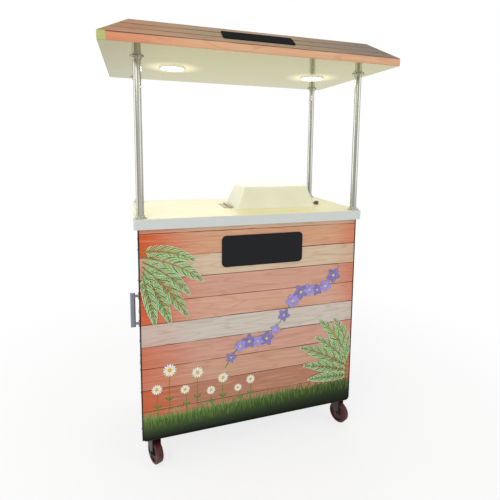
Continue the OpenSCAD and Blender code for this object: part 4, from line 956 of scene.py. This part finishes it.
class JUICECART_OT_canopy(Operator):
    """Posts, printed roof, glossy ceiling and lit lamps"""

    bl_idname = "juice_cart.canopy"
    bl_label = "Canopy"

    POST_RADIUS = 15 * MM
    FASCIA = 30 * MM
    # Run of the roof's hip for its rise
    HIP_RUN = 100 / 75
    # Tone and share of burnt colour at the ends of the fascia and of the slope's planks
    PLANKS = (
        ((217, 170, 134), 0.4), ((168, 143, 112), 0.25), ((160, 141, 106), 0.35), ((168, 143, 114), 0.25),
    )

    def execute(self, context):
        colours = settings("paint")
        dress(self.polish(colours), "canopy_posts")
        dress(brushed("flange_polish", colours.post, EVEN, rough=0.24), "post_flanges", edge=0.8)
        dress(self.roof_print(), "roof_shell", edge=1.2)
        dress(self.ceiling(colours), "ceiling_panel")
        dress(moulded("lamp_enamel", srgb(240, 240, 236), rough=0.3), "lamp_rims")
        dress(self.lens(), "lamp_lenses")
        self.flange_screws()
        return {"FINISHED"}

    def polish(self, colours):
        """Polished tube with painted reflections: dark bands that run down each post at set turns round it.
        """
        low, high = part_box("canopy_posts")
        finish = Finish("post_polish")
        line = finish.noise(1.6, (1, 1, 60), 4.0)
        smear = finish.noise(90, (1, 1, 1.6), 5.0)
        across = finish.axis("X") - (low.x + high.x) / 2
        reach = (high.x - low.x) / 2 - self.POST_RADIUS
        turn = (abs(across) - reach) * across.by("SIGN") / self.POST_RADIUS
        # Painted reflection: dark bands at set turns round each post stand in for the dark surroundings that
        # a polished tube mirrors
        streak = finish.step(turn, -0.95, -0.6) * finish.step(turn, -0.1, -0.4)
        streak = streak + finish.step(turn, 0.3, 0.5) * finish.step(turn, 0.9, 0.7) * 0.4
        tone = finish.shades(line, colours.post, 0.9, 1.15)
        # The painted reflection is laid over the brushed tone
        tone = finish.mix(streak * 0.55, tone, shade(colours.post, 0.5))
        return finish.coat(tone, line * 0.12 + smear * 0.16 + 0.06, 1.0).relief(line, 0.05, 0.5)

    def roof_print(self):
        """Printed fascia, three planks up the slope, boards on the flat top and green left ends."""
        low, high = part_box("roof_shell")
        eaves = low.z + self.FASCIA
        rise = (high.z - eaves) / 3
        board = settings("print").plank
        finish = Finish("roof_print", FILM_GLOSS)
        height = finish.axis("Z")
        across = finish.axis("X")
        row = ((height - eaves) / rise + 1).by("MAXIMUM", 0.3)
        top = finish.step(height, high.z - 1.5 * MM, high.z - 0.5 * MM)
        depth = (finish.axis("Y") - low.y) / (3 * board)
        row = row * (1 - top) + (depth.by("FRACT") * 3 + 1) * top
        width = (1 - top) * rise + top * board
        foot = 1 - finish.step(height, low.z, low.z + 0.4 * self.FASCIA)
        ends = finish.step(across, -0.2, -0.56) + foot * 0.3
        tone, grain, seam = wood_rows(finish, row, width, self.PLANKS, ends)
        slope = finish.step(height, eaves, eaves + 2 * MM)
        tone = finish.mix(slope * finish.step(across, 0.0, 0.5) * 0.6, tone, srgb(108, 98, 92))
        knots = finish.step(finish.noise(30, (3, 1, 1), 6.0), 0.62, 0.7)
        tone = finish.mix(slope * knots * 0.45, tone, srgb(84, 66, 50))
        hip = across - low.x - (height - eaves) * self.HIP_RUN
        lime = finish.mix(grain, srgb(189, 197, 127), srgb(167, 177, 105))
        moss = finish.mix(grain, srgb(152, 160, 98), srgb(128, 136, 78))
        tone = finish.mix(finish.step(across, low.x + 32 * MM, low.x + 23 * MM) * (1 - slope), tone, lime)
        tone = finish.mix(finish.step(hip, 9 * MM, 4 * MM) * slope, tone, moss)
        return finish.coat(tone, grain * 0.15 + 0.36).relief(grain - seam, 0.1, 0.4)

    @staticmethod
    def ceiling(colours):
        """Glossy sheet with painted shade at its left end and a painted glow of lamp light round both lamps.
        """
        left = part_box("ceiling_panel")[0].x
        lenses, radius = lamps()
        middle, reach = sum(lenses, Vector()) / 2, (lenses[1].x - lenses[0].x) / 2
        finish = Finish("ceiling_gloss")
        cloud = finish.noise(300, detail=2.0)
        smear = finish.noise(60, (3, 1, 1), 5.0)
        tone = finish.shades(cloud, colours.ceiling, 0.95, 1.06)
        # Painted shade: the sheet is drawn darker towards its left end
        painted_shade_left_end = finish.step(finish.axis("X"), left + 300 * MM, left) * 0.8
        tone = finish.mix(painted_shade_left_end, tone, shade(colours.ceiling, 0.62))
        # Painted lamp light: the ceiling sheet itself glows in a warm ring round each lamp, though it is no
        # lamp
        along = abs(finish.axis("X") - middle.x) - reach
        aside = finish.axis("Y") - middle.y
        away = (along * along + aside * aside).by("SQRT") / radius
        glow = finish.mix(finish.step(away, 2.9, 0.7), BLACK, srgb(255, 238, 196))
        finish.coat(tone, smear * 0.12 + 0.06, 0.85)
        finish.set({"Emission Color": glow, "Emission Strength": 0.5})
        return finish.relief(cloud, 0.6, 0.3)

    @staticmethod
    def lens():
        """Lit lens, paler in the middle."""
        lenses, radius = lamps()
        finish = Finish("lamp_lens")
        away = abs(finish.axis("Y") - lenses[0].y) / radius
        tone = finish.mix(away, srgb(255, 252, 238), srgb(255, 240, 204))
        finish.coat(srgb(246, 242, 226), finish.noise(10) * 0.2 + 0.3)
        return finish.set({"Emission Color": tone, "Emission Strength": settings("stage").lamp})

    @staticmethod
    def flange_screws():
        low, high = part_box("post_flanges")
        radius, ring, plate = 27 * MM, 22.5 * MM, 4 * MM
        spots = []
        for i in range(3):
            around = polar(pi / 2 + i * CIRCLE / 3, ring)
            xs = [x + around.x for x in within(low.x, high.x, radius)]
            ys = [y + around.y for y in within(low.y, high.y, radius)]
            spots += places(UP, xs, ys, [low.z + plate]) + places(DOWN, xs, ys, [high.z - plate])
        screws("flange_screws", spots, radius=2.6)


class JUICECART_OT_hood(Operator):
    """Enamelled hood, its hinge and its turn button"""

    bl_idname = "juice_cart.hood"
    bl_label = "Hood"

    def execute(self, context):
        enamel = painted("hood_enamel", settings("paint").hood, rough=0.34, wear=0.05, grime=0.05)
        hinge = painted("hinge_cream", srgb(176, 167, 132), rough=0.4, wear=0.2, grime=0.1)
        dress(enamel, "hood")
        dress(hinge, "hood_mounts")
        dress(hinge, "hood_hinge_leaf", edge=0.8)
        dress(moulded("catch_olive", srgb(78, 76, 60), rough=0.4), "hood_catch", edge=0.8)
        self.hinge_screws()
        return {"FINISHED"}

    @staticmethod
    def hinge_screws():
        """Screws of the moving leaf and of the fixed base, in two rows along the hinge."""
        low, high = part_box("hood_hinge_leaf")
        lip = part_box("hood")[0].z + 4 * MM
        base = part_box("hood_mounts")[0]
        leaf_row = spread(*within(low.y, high.y, 8 * MM), 5)
        base_row = spread(*within(low.y, high.y, 10 * MM), 4)
        spots = places(UP, [high.x - 4.5 * MM], leaf_row, [min(high.z, lip)])
        screws("hood_leaf_screws", spots, radius=2.4, body="hood")
        spots = places(UP, [base.x + 8 * MM], base_row, [base.z + 2 * MM])
        screws("hood_base_screws", spots, radius=2.8)


class JUICECART_OT_mill(Operator):
    """Cheeks, bearings, grooved rollers, gears and trays of the mill"""

    bl_idname = "juice_cart.mill"
    bl_label = "Mill"

    def execute(self, context):
        colours = settings("paint")
        plate = brushed("mill_plate", srgb(178, 178, 174), (1, 30, 1), rough=0.36)
        turned = brushed("roller_turned", srgb(192, 192, 188), (1, 30, 30), rough=0.28)
        iron = cast_paint("gear_iron", colours.iron)
        dress(plate, "cheek_plates", "cheek_caps", edge=0.8)
        dress(plate, "trash_plate")
        dress(turned, "top_roller", "front_roller", "rear_roller")
        dress(iron, "top_gear", "front_gear", "rear_gear", "bearing_blocks")
        dress(brushed("bush_bronze", colours.bronze, (1, 20, 20), rough=0.3), "roller_bushes")
        dress(screw_steel(), "pressure_screws", "tie_bars")
        dress(sheet_steel(), "feed_tray")
        low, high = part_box("cheek_plates")
        thick, inset, foot = 6 * MM, 12 * MM, 30 * MM
        xs, ys = within(low.x, high.x, thick), within(low.y, high.y, inset)
        screws("cheek_foot_screws", places(UP, xs, ys, [low.z + foot]), radius=4.5)
        return {"FINISHED"}


class JUICECART_OT_juice(Operator):
    """Juice tray, strainer, tap, chute and waste bin"""

    bl_idname = "juice_cart.juice"
    bl_label = "Juice and waste"

    def execute(self, context):
        dress(sheet_steel(), "juice_tray", "bagasse_chute", "strainer")
        dress(brushed("tap_chrome", srgb(200, 200, 198), EVEN, rough=0.14), "juice_tap", edge=0.8)
        dress(black_plastic(), "tap_lever", edge=0.8)
        green = moulded("bin_green", settings("paint").bin, rough=0.5, grain_size=1.6)
        dress(green, "waste_bin", edge=1.5)
        return {"FINISHED"}


class JUICECART_OT_drive(Operator):
    """Motor, gearbox, switch box, buttons and mains inlet"""

    bl_idname = "juice_cart.drive"
    bl_label = "Drive and switch"

    def execute(self, context):
        machine = cast_paint("machine_blue", settings("paint").drive)
        dress(machine, "gearbox", "fan_cowl", edge=1.2)
        dress(machine, "motor", edge=0.6)
        dress(moulded("switch_grey", srgb(156, 158, 158), rough=0.48), "switch_box", edge=2.5)
        dress(moulded("start_green", srgb(38, 132, 62), rough=0.3), "start_button", edge=1.2)
        dress(moulded("stop_red", srgb(184, 34, 30), rough=0.3), "stop_button", edge=1.2)
        dress(black_plastic(), "mains_inlet")
        low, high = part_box("mains_inlet")
        inset = 7 * MM
        ys, zs = within(low.y, high.y, inset), within(low.z, high.z, inset)
        screws("inlet_screws", places((1, 0, 0), [high.x], ys, zs), radius=2.6)
        return {"FINISHED"}


class JUICECART_OT_casters(Operator):
    """Caster plates with bolts, pressed forks and painted wheels"""

    bl_idname = "juice_cart.casters"
    bl_label = "Casters"

    def execute(self, context):
        forks = ["fork_" + corner for corner in CORNERS]
        fork = painted("fork_black", srgb(30, 29, 29), wear=0.3, grime=0.25)
        wheel = painted("wheel_maroon", settings("paint").wheel, rough=0.5, wear=0.2, grime=0.25, gloss=0.3)
        dress(brushed("caster_zinc", srgb(170, 171, 172), EVEN, rough=0.4), "caster_plates")
        dress(fork, *forks, edge=0.8)
        dress(wheel, *("wheel_" + corner for corner in CORNERS))
        thick, aside = 6 * MM, 28 * MM
        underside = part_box("caster_plates")[1].z - thick
        spots = []
        for name in forks:
            x, y, _ = JOINTS[name + "_swivel"]["pos_m"]
            spots += places(DOWN, (x - aside, x + aside), (y - aside, y + aside), [underside])
        screws("caster_bolts", spots, radius=4.5)
        return {"FINISHED"}


PIECES = (
    JUICECART_OT_stage, JUICECART_OT_cabinet, JUICECART_OT_front_print, JUICECART_OT_counter,
    JUICECART_OT_doors, JUICECART_OT_canopy, JUICECART_OT_hood, JUICECART_OT_mill,
    JUICECART_OT_juice, JUICECART_OT_drive, JUICECART_OT_casters,
)


class JUICECART_PT_panel(Panel):
    """Lists the cart's groups of pieces"""

    bl_idname = "JUICECART_PT_panel"
    bl_label = "Juice Cart"
    bl_space_type = "VIEW_3D"
    bl_region_type = "UI"
    bl_category = "Juice Cart"

    def draw(self, context):
        for piece in PIECES:
            self.layout.operator(piece.bl_idname)


GROUPS = {"paint": CartPaint, "print": CartPrint, "stage": CartStage}
CLASSES = (*GROUPS.values(), *PIECES, JUICECART_PT_panel)


def register():
    for item in CLASSES:
        bpy.utils.register_class(item)
    for name, group in GROUPS.items():
        setattr(bpy.types.Scene, "juice_cart_" + name, PointerProperty(type=group))


def unregister():
    for name in GROUPS:
        delattr(bpy.types.Scene, "juice_cart_" + name)
    for item in reversed(CLASSES):
        bpy.utils.unregister_class(item)


def main():
    register()
    for piece in PIECES:
        family, name = piece.bl_idname.split(".")
        getattr(getattr(bpy.ops, family), name)()


if __name__ == "__main__":
    main()
